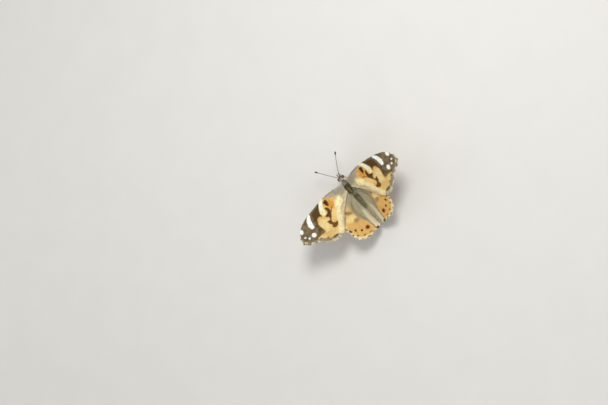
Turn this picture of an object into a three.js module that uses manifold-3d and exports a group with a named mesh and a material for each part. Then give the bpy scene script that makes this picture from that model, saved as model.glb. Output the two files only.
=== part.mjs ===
import * as THREE from 'three';
import { mergeVertices } from 'three/addons/utils/BufferGeometryUtils.js';
import Module from 'manifold-3d';

// Painted lady butterfly at rest, wings held open in a shallow V, life size in millimetres.
// +X is the butterfly's left, it faces -Y, and its feet stand on z = 0. Shapes are given
// from the point midway between the roots of the forewings; the last lines stand it up.

// Stance
const WING_ROOT_HEIGHT = 7.6;      // floor to the level of the wing roots
const BODY_PITCH = THREE.MathUtils.degToRad(6);  // nose up
const NODE_GAP = 0.3;              // kept between neighbouring nodes

// Wings: slopes are of the wing plane; a swing turns a wing about its hinge, seen from above
const WING_THICKNESS = 0.5;
const WING_SLOPE_OUT = 0.46;
const WING_SLOPE_BACK = -0.02;
const WING_CAMBER = 0.55;          // rise of a wing between its root and its margin
const WING_CAMBER_SPAN = 27;
const WING_HINGE_X = 2.2;
const FORE_HINGE_Y = 1.5;
const HIND_HINGE_Y = 5;
const HIND_DROP = 1.35;            // the hindwing lies this far under the forewing's plane
const HIND_FOLD = 0.5;             // extra fall of the hindwing beside the abdomen
const FORE_SWING = { left: -2.6, right: 2.6 };   // degrees, positive swings back
const HIND_SWING = { left: 1.1, right: -1.1 };
const TIP_DROOP = { left: 0.4, right: 0.6 };     // sag of the forewing's tip
const TIP_DROOP_START = 24;
const TIP_DROOP_SPAN = 7;
const SCALLOP_FORE = 0.4;
const SCALLOP_HIND = 0.55;
const SEAM_HALF_GAP = 0.2;         // the hindwings meet behind the abdomen
const ABDOMEN_SHOWN = 1.05;        // half width left bare between the hindwings, as a share of the abdomen's
const INNER_MARGIN_STEPS = 10;
const INNER_MARGIN_X = 1.5;        // where the height of the hindwing's inner margin is taken
const VEIN_FOOT = 0.42;            // half the width of a vein's ridge
const VEIN_RISE_ROOT = 0.24;       // height of the ridge by the root and at the margin
const VEIN_RISE_MARGIN = 0.12;
const VEIN_STEP = 1.8;
const VEIN_BOW = 0.03;             // bow of a vein that is given by its two ends
const NARROWEST_CELL_CORNER = 0.9; // radians; a ridge has no foot in a narrower corner
const FOOT_SHARE = 0.3;            // of the way across a cell, the most that a foot takes

// Body along its own axis, s back from the wing roots, coat of hair included
const THORAX_DROP = 1.3;           // axis of the body below the wing roots
const THORAX_PROFILE = [           // s, half width, half height
  [-1.3, 0.95, 1.1], [-0.8, 1.5, 1.6], [0.3, 2.05, 2.1], [1.8, 2.4, 2.4],
  [3.6, 2.4, 2.4], [5.2, 2.05, 2.15], [6.3, 1.6, 1.75], [6.75, 1.3, 1.45]];
const ABDOMEN_PROFILE = [
  [7.05, 1.3, 1.4], [8.2, 1.6, 1.65], [10.2, 1.72, 1.75], [12.4, 1.65, 1.65],
  [14.3, 1.42, 1.4], [15.9, 1.08, 1.08], [16.95, 0.7, 0.7], [17.4, 0.32, 0.32]];
const ABDOMEN_SAG = 1.3;           // fall of the abdomen's tip below the body's axis
const SEGMENTS = 8;
const SEGMENT_NOTCH = 0.08;        // share by which the body narrows between segments
const SEGMENT_RINGS = [[0, SEGMENT_NOTCH], [0.22, 0], [0.7, 0]];  // place in a segment, narrowing

// Head, in the body's frame
const HEAD_CENTRE = [0, -2.95, 0.15];
const HEAD_RADII = [1.65, 1.3, 1.55];
const EYE_CENTRE = [0.95, -3.15, 0.2];
const EYE_RADII = [1.15, 1.0, 1.25];
const PALP_ROOT = [0.53, -4.5, -0.72];
const PALP_TIP = [0.46, -5.85, 0.3];
const PALP_RADII = [0.34, 0.5];    // across and upright, at its fullest
const PALP_BEND = [0.06, 0, -0.22];  // off the straight line, at its middle
const ANTENNA_ROOT = [0.44, -3.75, 1.88];
const ANTENNA_LENGTH = 12.4;
const ANTENNA_SPREAD = THREE.MathUtils.degToRad(33);
const ANTENNA_ARCH = 0.9;
const ANTENNA_RADIUS = 0.26;
const CLUB_RADIUS = 0.46;
const CLUB_LENGTH = 2.3;
const MOUTH = [0, -3.35, -0.85];
const TONGUE_CENTRE = [0, -4.3, -2.5];
const TONGUE_RADIUS = 0.25;
const TONGUE_TURNS = 0.92;
const TONGUE_COIL = [0.86, 0.3];   // distance from the coil's centre, by the mouth and at the tip

// Legs: a hip lies on the thorax at s and an angle below its side; knee, ankle and toe are
// given from the wing roots, the last two on the floor
const LEGS = {
  midleg: { hip: [1.2, 38], knee: [6.2, 0.1, -3.2], ankle: [8.5, 0.9], toe: [10.3, -2.7] },
  hindleg: { hip: [4.2, 40], knee: [5.5, 8.2, -3.3], ankle: [7.1, 12.1], toe: [8.5, 16.7] },
};
const FEMUR_RADII = [0.44, 0.36];
const TIBIA_RADII = [0.34, 0.28];
const TARSUS_RADII = [0.28, 0.2];
const LIMB_SIDES = 8;
const SOLE_DEPTH = 0.02;           // the tarsus is set this far into the floor, and flattened there
const SOLE_RISE = 0.1;
const BRUSH_FOOT = [
  [0.8, -0.1, -1.6], [0.95, -0.55, -2.2], [1.35, -1.7, -2.75], [1.2, -2.7, -2.95], [0.95, -3.1, -3.6]];
const BRUSH_RADII = [0.4, 0.26];

const v3 = (x, y, z) => new THREE.Vector3(x, y, z);
const flat = (x, y) => new THREE.Vector2(x, y);
const { clamp, degToRad, lerp } = THREE.MathUtils;
const wasm = await Module();
wasm.setup();

const finishes = {                 // colour and roughness
  thorax: [0x8c8468, 0.9], abdomen: [0x6f6a4c, 0.9], eye: [0x4a3b2a, 0.35],
  palp: [0xd9d4c4, 0.9], antenna: [0x2f261d, 0.6], tongue: [0x5d4226, 0.5],
  leg: [0xb09c7c, 0.7], forewing: [0xd79a55, 0.75], hindwing: [0xd9a866, 0.75],
};

// Geometry helpers

function geometryFrom(vertices, triangles) {
  const geometry = new THREE.BufferGeometry();
  geometry.setAttribute('position', new THREE.Float32BufferAttribute(vertices.flat(), 3));
  geometry.setIndex(triangles.flat());
  geometry.computeVertexNormals();
  return geometry;
}

// A closed skin over rings of points, with a fan over each end.
function skinRings(rings) {
  const sides = rings[0].length;
  const vertices = rings.flat().map((p) => [p.x, p.y, p.z]);
  const triangles = [];
  for (let r = 0; r + 1 < rings.length; r += 1) {
    for (let i = 0; i < sides; i += 1) {
      const j = (i + 1) % sides;
      const [a, b] = [r * sides + i, r * sides + j];
      triangles.push([a, b, b + sides], [a, b + sides, a + sides]);
    }
  }
  for (const end of [0, rings.length - 1]) {
    const centre = rings[end].reduce((sum, p) => sum.addScaledVector(p, 1 / sides), v3(0, 0, 0));
    const hub = vertices.push([centre.x, centre.y, centre.z]) - 1;
    for (let i = 0; i < sides; i += 1) {
      const [a, b] = [end * sides + i, end * sides + ((i + 1) % sides)];
      triangles.push(end === 0 ? [b, a, hub] : [a, b, hub]);
    }
  }
  return geometryFrom(vertices, triangles);
}

// A tube along a curve. radiiAt gives its radius across and upright; the reference
// direction sets what upright means and is never along the curve.
function tube(curve, radiiAt, steps, sides, reference = v3(0, 0, 1)) {
  const rings = [];
  for (let k = 0; k <= steps; k += 1) {
    const t = k / steps;
    const tangent = curve.getTangentAt(t);
    const across = v3(0, 0, 0).crossVectors(tangent, reference).normalize();
    const upright = v3(0, 0, 0).crossVectors(across, tangent);
    const [wide, high] = radiiAt(t);
    rings.push(Array.from({ length: sides }, (_, i) => {
      const angle = (2 * Math.PI * (i + 0.5)) / sides;
      return curve.getPointAt(t)
        .addScaledVector(across, wide * Math.cos(angle))
        .addScaledVector(upright, -high * Math.sin(angle));
    }));
  }
  return skinRings(rings);
}

const smoothCurve = (points) => new THREE.CatmullRomCurve3(points, false, 'centripetal');
const tapering = ([start, end]) => (t) => [lerp(start, end, t), lerp(start, end, t)];

function ellipsoid(centre, radii, around, along) {
  const geometry = new THREE.SphereGeometry(1, around, along);
  geometry.scale(...radii);
  geometry.translate(...centre);
  return geometry;
}

function solidOf(geometry) {
  const bare = geometry.clone();
  bare.deleteAttribute('normal');
  bare.deleteAttribute('uv');
  const merged = mergeVertices(bare, 1e-5);
  return new wasm.Manifold(new wasm.Mesh({
    numProp: 3,
    vertProperties: new Float32Array(merged.attributes.position.array),
    triVerts: new Uint32Array(merged.index.array),
  }));
}

// The largest closed surface of a cut solid.
function geometryOf(solid) {
  const [largest] = solid.decompose().sort((a, b) => b.volume() - a.volume());
  const { vertProperties, triVerts } = largest.getMesh();
  const geometry = new THREE.BufferGeometry();
  geometry.setAttribute('position', new THREE.BufferAttribute(vertProperties, 3));
  geometry.setIndex(new THREE.BufferAttribute(triVerts, 1));
  geometry.computeVertexNormals();
  return geometry;
}

// A geometry with what another one takes up cut away.
function clearOf(geometry, tool) {
  return geometryOf(solidOf(geometry).subtract(solidOf(tool)));
}

// A copy for the other side of the body, its faces turned out again.
function mirrored(geometry) {
  const copy = geometry.clone();
  copy.scale(-1, 1, 1);
  const index = copy.index.array;
  for (let i = 0; i < index.length; i += 3) {
    [index[i], index[i + 1]] = [index[i + 1], index[i]];
  }
  copy.computeVertexNormals();
  return copy;
}

function addNode(parent, name, geometry, finish) {
  const [color, roughness] = finishes[finish];
  const material = new THREE.MeshStandardMaterial({ color, roughness, metalness: 0 });
  const mesh = new THREE.Mesh(geometry, material);
  mesh.name = name;
  parent.add(mesh);
}

function addPair(parent, name, geometry, finish) {
  addNode(parent, `${name}_left`, geometry, finish);
  addNode(parent, `${name}_right`, mirrored(geometry), finish);
}

// Thorax and abdomen

const thoraxCurve = smoothCurve(THORAX_PROFILE.map((p) => v3(...p)));
const abdomenCurve = smoothCurve(ABDOMEN_PROFILE.map((p) => v3(...p)));
const [ABDOMEN_START, ABDOMEN_END] = [ABDOMEN_PROFILE[0][0], ABDOMEN_PROFILE.at(-1)[0]];

// A profile's point at a place s: s, half width, half height.
function profileAt(curve, s) {
  let [low, high] = [0, 1];
  for (let k = 0; k < 24; k += 1) {
    const middle = (low + high) / 2;
    if (curve.getPoint(middle).x < s) low = middle; else high = middle;
  }
  return curve.getPoint(low);
}

function abdomenSag(s) {
  return ABDOMEN_SAG * ((s - ABDOMEN_START) / (ABDOMEN_END - ABDOMEN_START)) ** 2;
}

function bodyRing(s, halfWidth, halfHeight, sag, sides) {
  return Array.from({ length: sides }, (_, i) => {
    const angle = (-2 * Math.PI * i) / sides;
    return v3(halfWidth * Math.cos(angle), s, halfHeight * Math.sin(angle) - sag);
  });
}

function thoraxGeometry(growth = 0) {
  const [rings, sides] = [14, 22];
  return skinRings(Array.from({ length: rings }, (_, k) => {
    const p = thoraxCurve.getPoint(k / (rings - 1));
    return bodyRing(p.x, p.y + growth, p.z + growth, 0, sides);
  }));
}

function abdomenGeometry() {
  const sides = 16;
  const rings = [];
  for (let segment = 0; segment < SEGMENTS; segment += 1) {
    for (const [part, notch] of SEGMENT_RINGS) {
      const s = lerp(ABDOMEN_START, ABDOMEN_END, (segment + part) / SEGMENTS);
      const p = profileAt(abdomenCurve, s);
      rings.push(bodyRing(s, p.y * (1 - notch), p.z * (1 - notch), abdomenSag(s), sides));
    }
  }
  const tip = profileAt(abdomenCurve, ABDOMEN_END);
  rings.push(bodyRing(tip.x, tip.y, tip.z, ABDOMEN_SAG, sides));
  return skinRings(rings);
}

// The body's half width at a point of its side, given from the wing roots.
function halfWidthBeside(y, z) {
  const drop = z + THORAX_DROP;
  const s = y * Math.cos(BODY_PITCH) - drop * Math.sin(BODY_PITCH);
  const height = y * Math.sin(BODY_PITCH) + drop * Math.cos(BODY_PITCH);
  if (s > ABDOMEN_END) return 0;
  const onAbdomen = s > ABDOMEN_START;
  const p = profileAt(onAbdomen ? abdomenCurve : thoraxCurve, s);
  const level = clamp((height + (onAbdomen ? abdomenSag(s) : 0)) / p.z, -1, 1);
  return p.y * Math.sqrt(1 - level * level);
}

// Wings

// Outlines run from the front of the root round the apex to the inner margin. A third value
// names the vein that ends there. A vein's path lists root shares, forks, points and ends.
const FOREWING = {
  hingeY: FORE_HINGE_Y,
  scallop: SCALLOP_FORE,
  scallopFrom: 'R4',
  rootY: [-0.6, 3.5],
  outline: [
    [3.4, -0.75], [7.5, -0.75], [11.5, -0.3], [15.5, 0.75, 'Sc'], [19.2, 1.85, 'R1'],
    [22.3, 2.85, 'R2'], [26.2, 4.8, 'R3'], [29.4, 7.1, 'R4'], [31.0, 10.0, 'R5'],
    [31.1, 13.1, 'M1'], [28.8, 15.2, 'M2'], [26.0, 16.1, 'M3'], [23.3, 17.8, 'CuA1'],
    [20.6, 19.9, 'CuA2'], [17.3, 21.2, 'A2'], [14.4, 20.0], [12.3, 18.0], [7.4, 10.7]],
  forks: {
    R1: [13.0, 2.35], R2: [15.6, 3.35], cellTop: [17.0, 4.0], R3: [21.6, 5.1],
    R4: [25.4, 6.6], M1: [17.5, 5.1], M2: [17.5, 6.5], M3: [16.9, 7.9],
    cellEnd: [15.7, 8.9], CuA2: [11.6, 6.3] },
  veins: [
    ['root 0.14', [9, 0.15], 'end Sc'],
    ['root 0.38', [8.5, 1.3], 'fork R1', 'fork R2', 'fork cellTop', 'fork R3', 'fork R4', 'end R5'],
    ['fork R1', 'end R1'], ['fork R2', 'end R2'], ['fork R3', 'end R3'], ['fork R4', 'end R4'],
    ['fork cellTop', 'fork M1', 'fork M2', 'fork M3', 'fork cellEnd'],
    ['fork M1', [24.5, 8.2], 'end M1'], ['fork M2', [23.5, 10.6], 'end M2'],
    ['fork M3', [21.6, 12], 'end M3'],
    ['root 0.62', [7.2, 4.1], 'fork CuA2', 'fork cellEnd', 'end CuA1'],
    ['fork CuA2', [16.4, 13], 'end CuA2'], ['root 0.86', [8.1, 9.5], 'end A2']],
};
const HINDWING = {
  hingeY: HIND_HINGE_Y,
  scallop: SCALLOP_HIND,
  scallopFrom: 'Rs',
  rootY: [4.1, 6.5],
  outline: [
    [4.6, 5.6], [8.5, 8.9], [11.6, 12.3], [13.7, 15.5, 'Sc'], [14.5, 18.2, 'Rs'],
    [13.9, 20.8, 'M1'], [13.6, 23.4, 'M2'], [12.5, 26.2, 'M3'], [9.9, 28.1, 'CuA1'],
    [6.6, 28.6, 'CuA2'], [3.5, 27.7, 'A2'], [1.5, 26.7]],
  forks: {
    cellTop: [7.9, 11.8], M1: [8.3, 12.8], M2: [8.1, 14.1], cellEnd: [7.3, 15.2],
    CuA2: [5.8, 12.9] },
  veins: [
    ['root 0.14', [6.4, 7.9], [10.7, 12.1], 'end Sc'],
    ['root 0.38', [5, 8.1], 'fork cellTop', 'end Rs'],
    ['fork cellTop', 'fork M1', 'fork M2', 'fork cellEnd'],
    ['fork M1', 'end M1'], ['fork M2', 'end M2'], ['fork cellEnd', [9.7, 20.4], 'end M3'],
    ['root 0.62', [4.1, 9.4], 'fork CuA2', 'fork cellEnd', [8.3, 21], 'end CuA1'],
    ['fork CuA2', 'end CuA2'], ['root 0.86', [3.3, 13.5], [3.2, 20.5], 'end A2']],
};

function wingPlane(x, y) {
  const camber = WING_CAMBER * Math.sin(Math.PI * clamp((x - WING_HINGE_X) / WING_CAMBER_SPAN, 0, 1));
  return WING_SLOPE_OUT * (x - WING_HINGE_X) + WING_SLOPE_BACK * y + camber;
}

const foreHeight = (droop) => (x, y) => (
  wingPlane(x, y) - droop * (Math.max(0, x - TIP_DROOP_START) / TIP_DROOP_SPAN) ** 2);
const hindHeight = (x, y) => (
  wingPlane(x, y) - HIND_DROP - HIND_FOLD * Math.exp(-((x / 1.9) ** 2)));

// A smooth path through corners that keeps each of them, with points about a step apart.
function sampledPath(corners, step) {
  if (corners.length === 2) {
    const [a, b] = corners;
    const middle = a.clone().add(b).multiplyScalar(0.5);
    const bow = flat(a.y - b.y, b.x - a.x).multiplyScalar(VEIN_BOW);
    corners.splice(1, 0, middle.add(bow));
  }
  const curve = smoothCurve(corners.map((p) => v3(p.x, p.y, 0)));
  const path = [];
  corners.slice(0, -1).forEach((corner, k) => {
    const pieces = Math.max(1, Math.round(corner.distanceTo(corners[k + 1]) / step));
    path.push(corner);
    for (let i = 1; i < pieces; i += 1) {
      const p = curve.getPoint((k + i / pieces) / (corners.length - 1));
      path.push(flat(p.x, p.y));
    }
  });
  return [...path, corners.at(-1)];
}

// The root's edge follows the thorax; a vein starts at each share, with a valley between.
function rootEdge(wing) {
  const shares = wing.veins.map(([start]) => start).filter((start) => start.startsWith('root'))
    .map((start) => Number(start.slice(5)));
  const marks = [0, ...shares.flatMap((share, k) => (
    k + 1 < shares.length ? [share, (share + shares[k + 1]) / 2] : [share])), 1];
  return marks.map((share) => {
    const y = lerp(...wing.rootY, share);
    const underside = wing.height(WING_HINGE_X, y) - WING_THICKNESS;
    const x = halfWidthBeside(y, underside) + NODE_GAP + 0.05;
    return { point: flat(x, y), name: shares.includes(share) ? `root ${share}` : null };
  });
}

// The whole rim in order from the front of the root, back to it along the root's edge.
function wingRim(wing, turn) {
  const corners = wing.outline.map(([x, y, vein]) => (
    { point: turn(flat(x, y)), name: vein ? `end ${vein}` : null }));
  const root = rootEdge(wing);
  const inner = wing.innerMargin(corners.at(-1).point.y);
  const all = [root[0], ...corners, ...inner, root.at(-1)];
  const curve = smoothCurve(all.map(({ point }) => v3(point.x, point.y, 0)));
  const firstScallop = all.findIndex(({ name }) => name === `end ${wing.scallopFrom}`);
  const rim = [];
  all.slice(0, -1).forEach((a, k) => {
    const b = all[k + 1];
    const length = a.point.distanceTo(b.point);
    const scalloped = k >= firstScallop && Boolean(a.name && b.name);
    const pieces = scalloped ? 4 : Math.max(1, Math.round(length / VEIN_STEP));
    const outward = flat(b.point.y - a.point.y, a.point.x - b.point.x).normalize();
    const shares = Array.from({ length: pieces - 1 }, (_, i) => (i + 1) / pieces);
    if (a.name) shares.unshift(VEIN_FOOT / length);
    if (b.name) shares.push(1 - VEIN_FOOT / length);
    rim.push(a);
    for (const share of shares) {
      const p = curve.getPoint((k + share) / (all.length - 1));
      const dip = scalloped ? wing.scallop * Math.sin(Math.PI * share) : 0;
      rim.push({ point: flat(p.x, p.y).addScaledVector(outward, -dip), name: null });
    }
  });
  return [...rim, ...root.slice(1).reverse()];
}

// Veins and rim as one plane graph: points, and for each point its neighbours.
function wingGraph(wing, turn) {
  const graph = { points: [], vein: [], links: [] };
  const named = {};
  const addPoint = (point, onVein) => {
    graph.vein.push(onVein);
    graph.links.push(new Map());
    return graph.points.push(point) - 1;
  };
  const link = (a, b, kind) => {
    graph.links[a].set(b, kind);
    graph.links[b].set(a, kind);
  };
  const rim = wingRim(wing, turn).map(({ point, name }) => {
    const index = addPoint(point, Boolean(name));
    if (name) named[name] = index;
    return index;
  });
  rim.forEach((index, k) => link(index, rim[(k + 1) % rim.length], 'rim'));
  for (const [name, [x, y]] of Object.entries(wing.forks)) {
    named[`fork ${name}`] = addPoint(turn(flat(x, y)), true);
  }
  for (const vein of wing.veins) {
    const corners = vein.map((stop) => (
      Array.isArray(stop) ? turn(flat(...stop)) : graph.points[named[stop]]));
    const known = new Map(vein.filter((stop) => !Array.isArray(stop))
      .map((stop) => [graph.points[named[stop]], named[stop]]));
    const path = sampledPath(corners, VEIN_STEP).map((p) => known.get(p) ?? addPoint(p, true));
    path.slice(1).forEach((index, k) => link(path[k], index, 'vein'));
  }
  return graph;
}

// The cells between veins, each a loop of point numbers, anticlockwise.
function wingCells({ points, links }) {
  const bearing = (a, b) => Math.atan2(points[b].y - points[a].y, points[b].x - points[a].x);
  const around = links.map((map, a) => [...map.keys()].sort((b, c) => bearing(a, b) - bearing(a, c)));
  const visited = new Set();
  const cells = [];
  links.forEach((map, start) => {
    for (const first of map.keys()) {
      let [a, b] = [start, first];
      const loop = [];
      while (!visited.has(`${a} ${b}`)) {
        visited.add(`${a} ${b}`);
        loop.push(a);
        const turns = around[b];
        const next = turns[(turns.indexOf(a) + turns.length - 1) % turns.length];
        [a, b] = [b, next];
      }
      if (loop.length > 2 && THREE.ShapeUtils.area(loop.map((k) => points[k])) > 0) cells.push(loop);
    }
  });
  return cells;
}

// Distance from a point along a direction to the first edge of a loop it meets.
function reachInside(loop, points, from, direction) {
  let reach = Infinity;
  loop.forEach((index, k) => {
    const [a, b] = [points[index], points[loop[(k + 1) % loop.length]]];
    const edge = b.clone().sub(a);
    const cross = direction.cross(edge);
    if (Math.abs(cross) < 1e-9) return;
    const toEdge = a.clone().sub(from);
    const [along, share] = [toEdge.cross(edge) / cross, toEdge.cross(direction) / cross];
    if (along > 1e-6 && share > -1e-6 && share < 1 + 1e-6) reach = Math.min(reach, along);
  });
  return reach;
}

// The foot of the ridge inside a cell, for each point of its loop.
function ridgeFeet(graph, loop) {
  const { points, links, vein } = graph;
  return loop.map((index, k) => {
    const before = loop[(k + loop.length - 1) % loop.length];
    const after = loop[(k + 1) % loop.length];
    const [kindIn, kindOut] = [links[before].get(index), links[index].get(after)];
    if (kindIn === 'rim' && kindOut === 'rim') return index;
    if (kindOut === 'rim') return after;
    if (kindIn === 'rim') return before;
    const to = points[after].clone().sub(points[index]).normalize();
    const back = points[before].clone().sub(points[index]).normalize();
    const corner = (Math.atan2(to.cross(back), to.dot(back)) + 2 * Math.PI) % (2 * Math.PI);
    if (corner < NARROWEST_CELL_CORNER) return index;
    const inward = to.clone().rotateAround(flat(0, 0), corner / 2);
    const reach = reachInside(loop, points, points[index], inward);
    const foot = Math.min(VEIN_FOOT / Math.sin(corner / 2), FOOT_SHARE * reach);
    vein.push(false);
    links.push(new Map());
    return points.push(points[index].clone().addScaledVector(inward, foot)) - 1;
  });
}

// Triangles of one face of the wing, anticlockwise from above.
function wingTriangles(graph) {
  const triangles = [];
  const keep = (a, b, c) => {
    if (a !== b && b !== c && c !== a) triangles.push([a, b, c]);
  };
  for (const loop of wingCells(graph)) {
    const feet = ridgeFeet(graph, loop);
    loop.forEach((a, k) => {
      const next = (k + 1) % loop.length;
      const b = loop[next];
      if (graph.links[a].get(b) !== 'vein') return;
      keep(a, b, feet[next]);
      keep(a, feet[next], feet[k]);
    });
    const inside = feet.filter((index, k) => index !== feet[(k + 1) % feet.length]);
    const contour = inside.map((index) => graph.points[index]);
    for (const [a, b, c] of THREE.ShapeUtils.triangulateShape(contour, [])) {
      const turnsLeft = contour[b].clone().sub(contour[a]).cross(contour[c].clone().sub(contour[a])) > 0;
      keep(inside[a], inside[turnsLeft ? b : c], inside[turnsLeft ? c : b]);
    }
  }
  return triangles;
}

function wingGeometry(wing, swing) {
  const hinge = flat(WING_HINGE_X, wing.hingeY);
  const turn = (p) => p.rotateAround(hinge, degToRad(swing));
  const graph = wingGraph(wing, turn);
  const rimLinks = graph.links.flatMap((map, a) => (
    [...map].filter(([, kind]) => kind === 'rim').map(([b]) => [a, b])));
  const face = wingTriangles(graph);
  const halfThickness = (WING_THICKNESS / 2) * Math.hypot(1, WING_SLOPE_OUT);
  const reach = Math.max(...graph.points.map((p) => p.distanceTo(hinge)));
  const levels = graph.points.map((p, k) => {
    const rise = lerp(VEIN_RISE_ROOT, VEIN_RISE_MARGIN, p.distanceTo(hinge) / reach);
    return [wing.height(p.x, p.y), halfThickness + (graph.vein[k] ? rise : 0)];
  });
  const count = graph.points.length;
  const vertices = [1, -1].flatMap((side) => graph.points.map((p, k) => (
    [p.x, p.y, levels[k][0] + side * levels[k][1]])));
  const edges = new Set(face.flatMap(([a, b, c]) => [`${a} ${b}`, `${b} ${c}`, `${c} ${a}`]));
  const wall = rimLinks.filter(([a, b]) => edges.has(`${a} ${b}`));
  return geometryFrom(vertices, [
    ...face,
    ...face.map(([a, b, c]) => [a + count, c + count, b + count]),
    ...wall.flatMap(([a, b]) => [[a + count, b + count, b], [a + count, b, a]]),
  ]);
}

// The hindwing's inner margin runs forward beside the abdomen, from its rear to its root.
function hindInnerMargin(fromY) {
  return Array.from({ length: INNER_MARGIN_STEPS }, (_, k) => {
    const y = lerp(fromY, HINDWING.rootY[1], (k + 1) / (INNER_MARGIN_STEPS + 1));
    const beside = halfWidthBeside(y, hindHeight(INNER_MARGIN_X, y) - WING_THICKNESS / 2);
    const flank = y < ABDOMEN_END ? ABDOMEN_SHOWN * profileAt(abdomenCurve, y).y : 0;
    return { point: flat(Math.max(SEAM_HALF_GAP, beside + NODE_GAP + 0.1, flank), y), name: null };
  });
}

// Head

const body = new THREE.Group();
body.position.set(0, 0, -THORAX_DROP);
body.rotation.x = -BODY_PITCH;
body.updateMatrix();

function eyeSocketTool(growth) {
  const radii = EYE_RADII.map((radius) => radius + growth);
  const globe = solidOf(ellipsoid(EYE_CENTRE, radii, 18, 12));
  const outerHalf = new THREE.BoxGeometry(4, 6, 6);
  outerHalf.translate(EYE_CENTRE[0] - growth + 2, EYE_CENTRE[1], EYE_CENTRE[2]);
  return globe.intersect(solidOf(outerHalf));
}

function grownHead() {
  return ellipsoid(HEAD_CENTRE, HEAD_RADII.map((radius) => radius + NODE_GAP), 24, 16);
}

function headGeometry() {
  const socket = geometryOf(eyeSocketTool(NODE_GAP));
  return geometryOf(solidOf(ellipsoid(HEAD_CENTRE, HEAD_RADII, 24, 16))
    .subtract(solidOf(socket)).subtract(solidOf(mirrored(socket))));
}

function palpGeometry() {
  const [root, tip] = [v3(...PALP_ROOT), v3(...PALP_TIP)];
  const bend = root.clone().lerp(tip, 0.5).add(v3(...PALP_BEND));
  const radii = (t) => {
    const swell = Math.sin(Math.PI * lerp(0.22, 0.86, t));
    return PALP_RADII.map((radius) => radius * swell);
  };
  return tube(smoothCurve([root, bend, tip]), radii, 7, 10);
}

function antennaGeometry() {
  const root = v3(...ANTENNA_ROOT);
  const tip = v3(Math.sin(ANTENNA_SPREAD), -Math.cos(ANTENNA_SPREAD), 0)
    .multiplyScalar(ANTENNA_LENGTH).add(root);
  const arch = root.clone().lerp(tip, 0.4).add(v3(0, 0, ANTENNA_ARCH));
  const clubStart = 1 - CLUB_LENGTH / ANTENNA_LENGTH;
  const radii = (t) => {
    const share = clamp((t - clubStart) / (1 - clubStart), 0, 1);
    const club = Math.sin(Math.PI * Math.min(1, 0.1 + share * 0.78) ** 1.4);
    const radius = share > 0 ? Math.max(ANTENNA_RADIUS * (1 - share), CLUB_RADIUS * club) : ANTENNA_RADIUS;
    return [radius, radius];
  };
  return tube(smoothCurve([root, arch, tip]), radii, 24, 8);
}

// The tongue leaves the mouth forwards and is coiled under the head, its tip innermost.
function tongueGeometry() {
  const steps = 20;
  const coil = Array.from({ length: steps + 1 }, (_, k) => {
    const angle = 2 * Math.PI * TONGUE_TURNS * (k / steps);
    const radius = lerp(...TONGUE_COIL, k / steps);
    return v3(...TONGUE_CENTRE).add(v3(0, -radius * Math.sin(angle), radius * Math.cos(angle)));
  });
  const path = smoothCurve([v3(...MOUTH), ...coil]);
  const whole = tube(path, () => [TONGUE_RADIUS, TONGUE_RADIUS], steps + 4, 8, v3(1, 0, 0));
  return clearOf(whole, grownHead());
}

// Legs

const fromBody = (point) => point.applyEuler(body.rotation).add(body.position);

// The short folded foreleg, from the thorax's underside to beside the head.
function brushFootGeometry() {
  const path = smoothCurve(BRUSH_FOOT.map((p) => v3(...p)));
  return clearOf(tube(path, tapering(BRUSH_RADII), 9, 8, v3(1, 0, 0)), thoraxGeometry(NODE_GAP));
}

// How far a limb stops short of a joint, so that its end clears its neighbour's.
function jointTrim(joint, here, there, radius) {
  const half = here.clone().sub(joint).angleTo(there.clone().sub(joint)) / 2;
  return radius / Math.tan(half) + NODE_GAP / 2 / Math.sin(half);
}

function limb(from, to, trimFrom, trimTo, radii) {
  const direction = to.clone().sub(from).normalize();
  const start = from.clone().addScaledVector(direction, trimFrom);
  const end = to.clone().addScaledVector(direction, -trimTo);
  return tube(new THREE.LineCurve3(start, end), tapering(radii), 2, LIMB_SIDES);
}

// The sole: points near the floor are brought down to it.
function flattenSole(geometry) {
  const place = geometry.attributes.position;
  for (let k = 0; k < place.count; k += 1) {
    if (place.getZ(k) < -WING_ROOT_HEIGHT + SOLE_RISE) place.setZ(k, -WING_ROOT_HEIGHT);
  }
  return geometry;
}

function addLegPair(parent, name, leg) {
  const [s, degrees] = leg.hip;
  const p = profileAt(thoraxCurve, s);
  const hip = fromBody(v3(p.y * Math.cos(degToRad(degrees)), s, -p.z * Math.sin(degToRad(degrees))));
  const knee = v3(...leg.knee);
  const toFlat = Math.cos(Math.PI / LIMB_SIDES);
  const [heel, tip] = TARSUS_RADII.map((radius) => radius * toFlat - SOLE_DEPTH - WING_ROOT_HEIGHT);
  const ankle = v3(...leg.ankle, heel);
  const toe = v3(...leg.toe, tip);
  const kneeTrim = jointTrim(knee, hip, ankle, FEMUR_RADII[1]);
  const ankleTrim = jointTrim(ankle, knee, toe, TIBIA_RADII[1]);
  const grownThorax = thoraxGeometry(NODE_GAP).applyMatrix4(body.matrix);
  const femur = clearOf(limb(hip, knee, 0, kneeTrim, FEMUR_RADII), grownThorax);
  addPair(parent, `${name}_femur`, femur, 'leg');
  addPair(parent, `${name}_tibia`, limb(knee, ankle, kneeTrim, ankleTrim, TIBIA_RADII), 'leg');
  const tarsus = flattenSole(limb(ankle, toe, ankleTrim, 0, TARSUS_RADII));
  addPair(parent, `${name}_tarsus`, tarsus, 'leg');
}

// Assembly

const butterfly = new THREE.Group();
butterfly.add(body);
addNode(body, 'thorax', thoraxGeometry(), 'thorax');
addNode(body, 'abdomen', abdomenGeometry(), 'abdomen');
addNode(body, 'head', headGeometry(), 'thorax');
addPair(body, 'eye', geometryOf(eyeSocketTool(0)), 'eye');
addPair(body, 'palp', palpGeometry(), 'palp');
addPair(body, 'antenna', antennaGeometry(), 'antenna');
addNode(body, 'proboscis', tongueGeometry(), 'tongue');
addPair(body, 'foreleg', brushFootGeometry(), 'leg');

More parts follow.
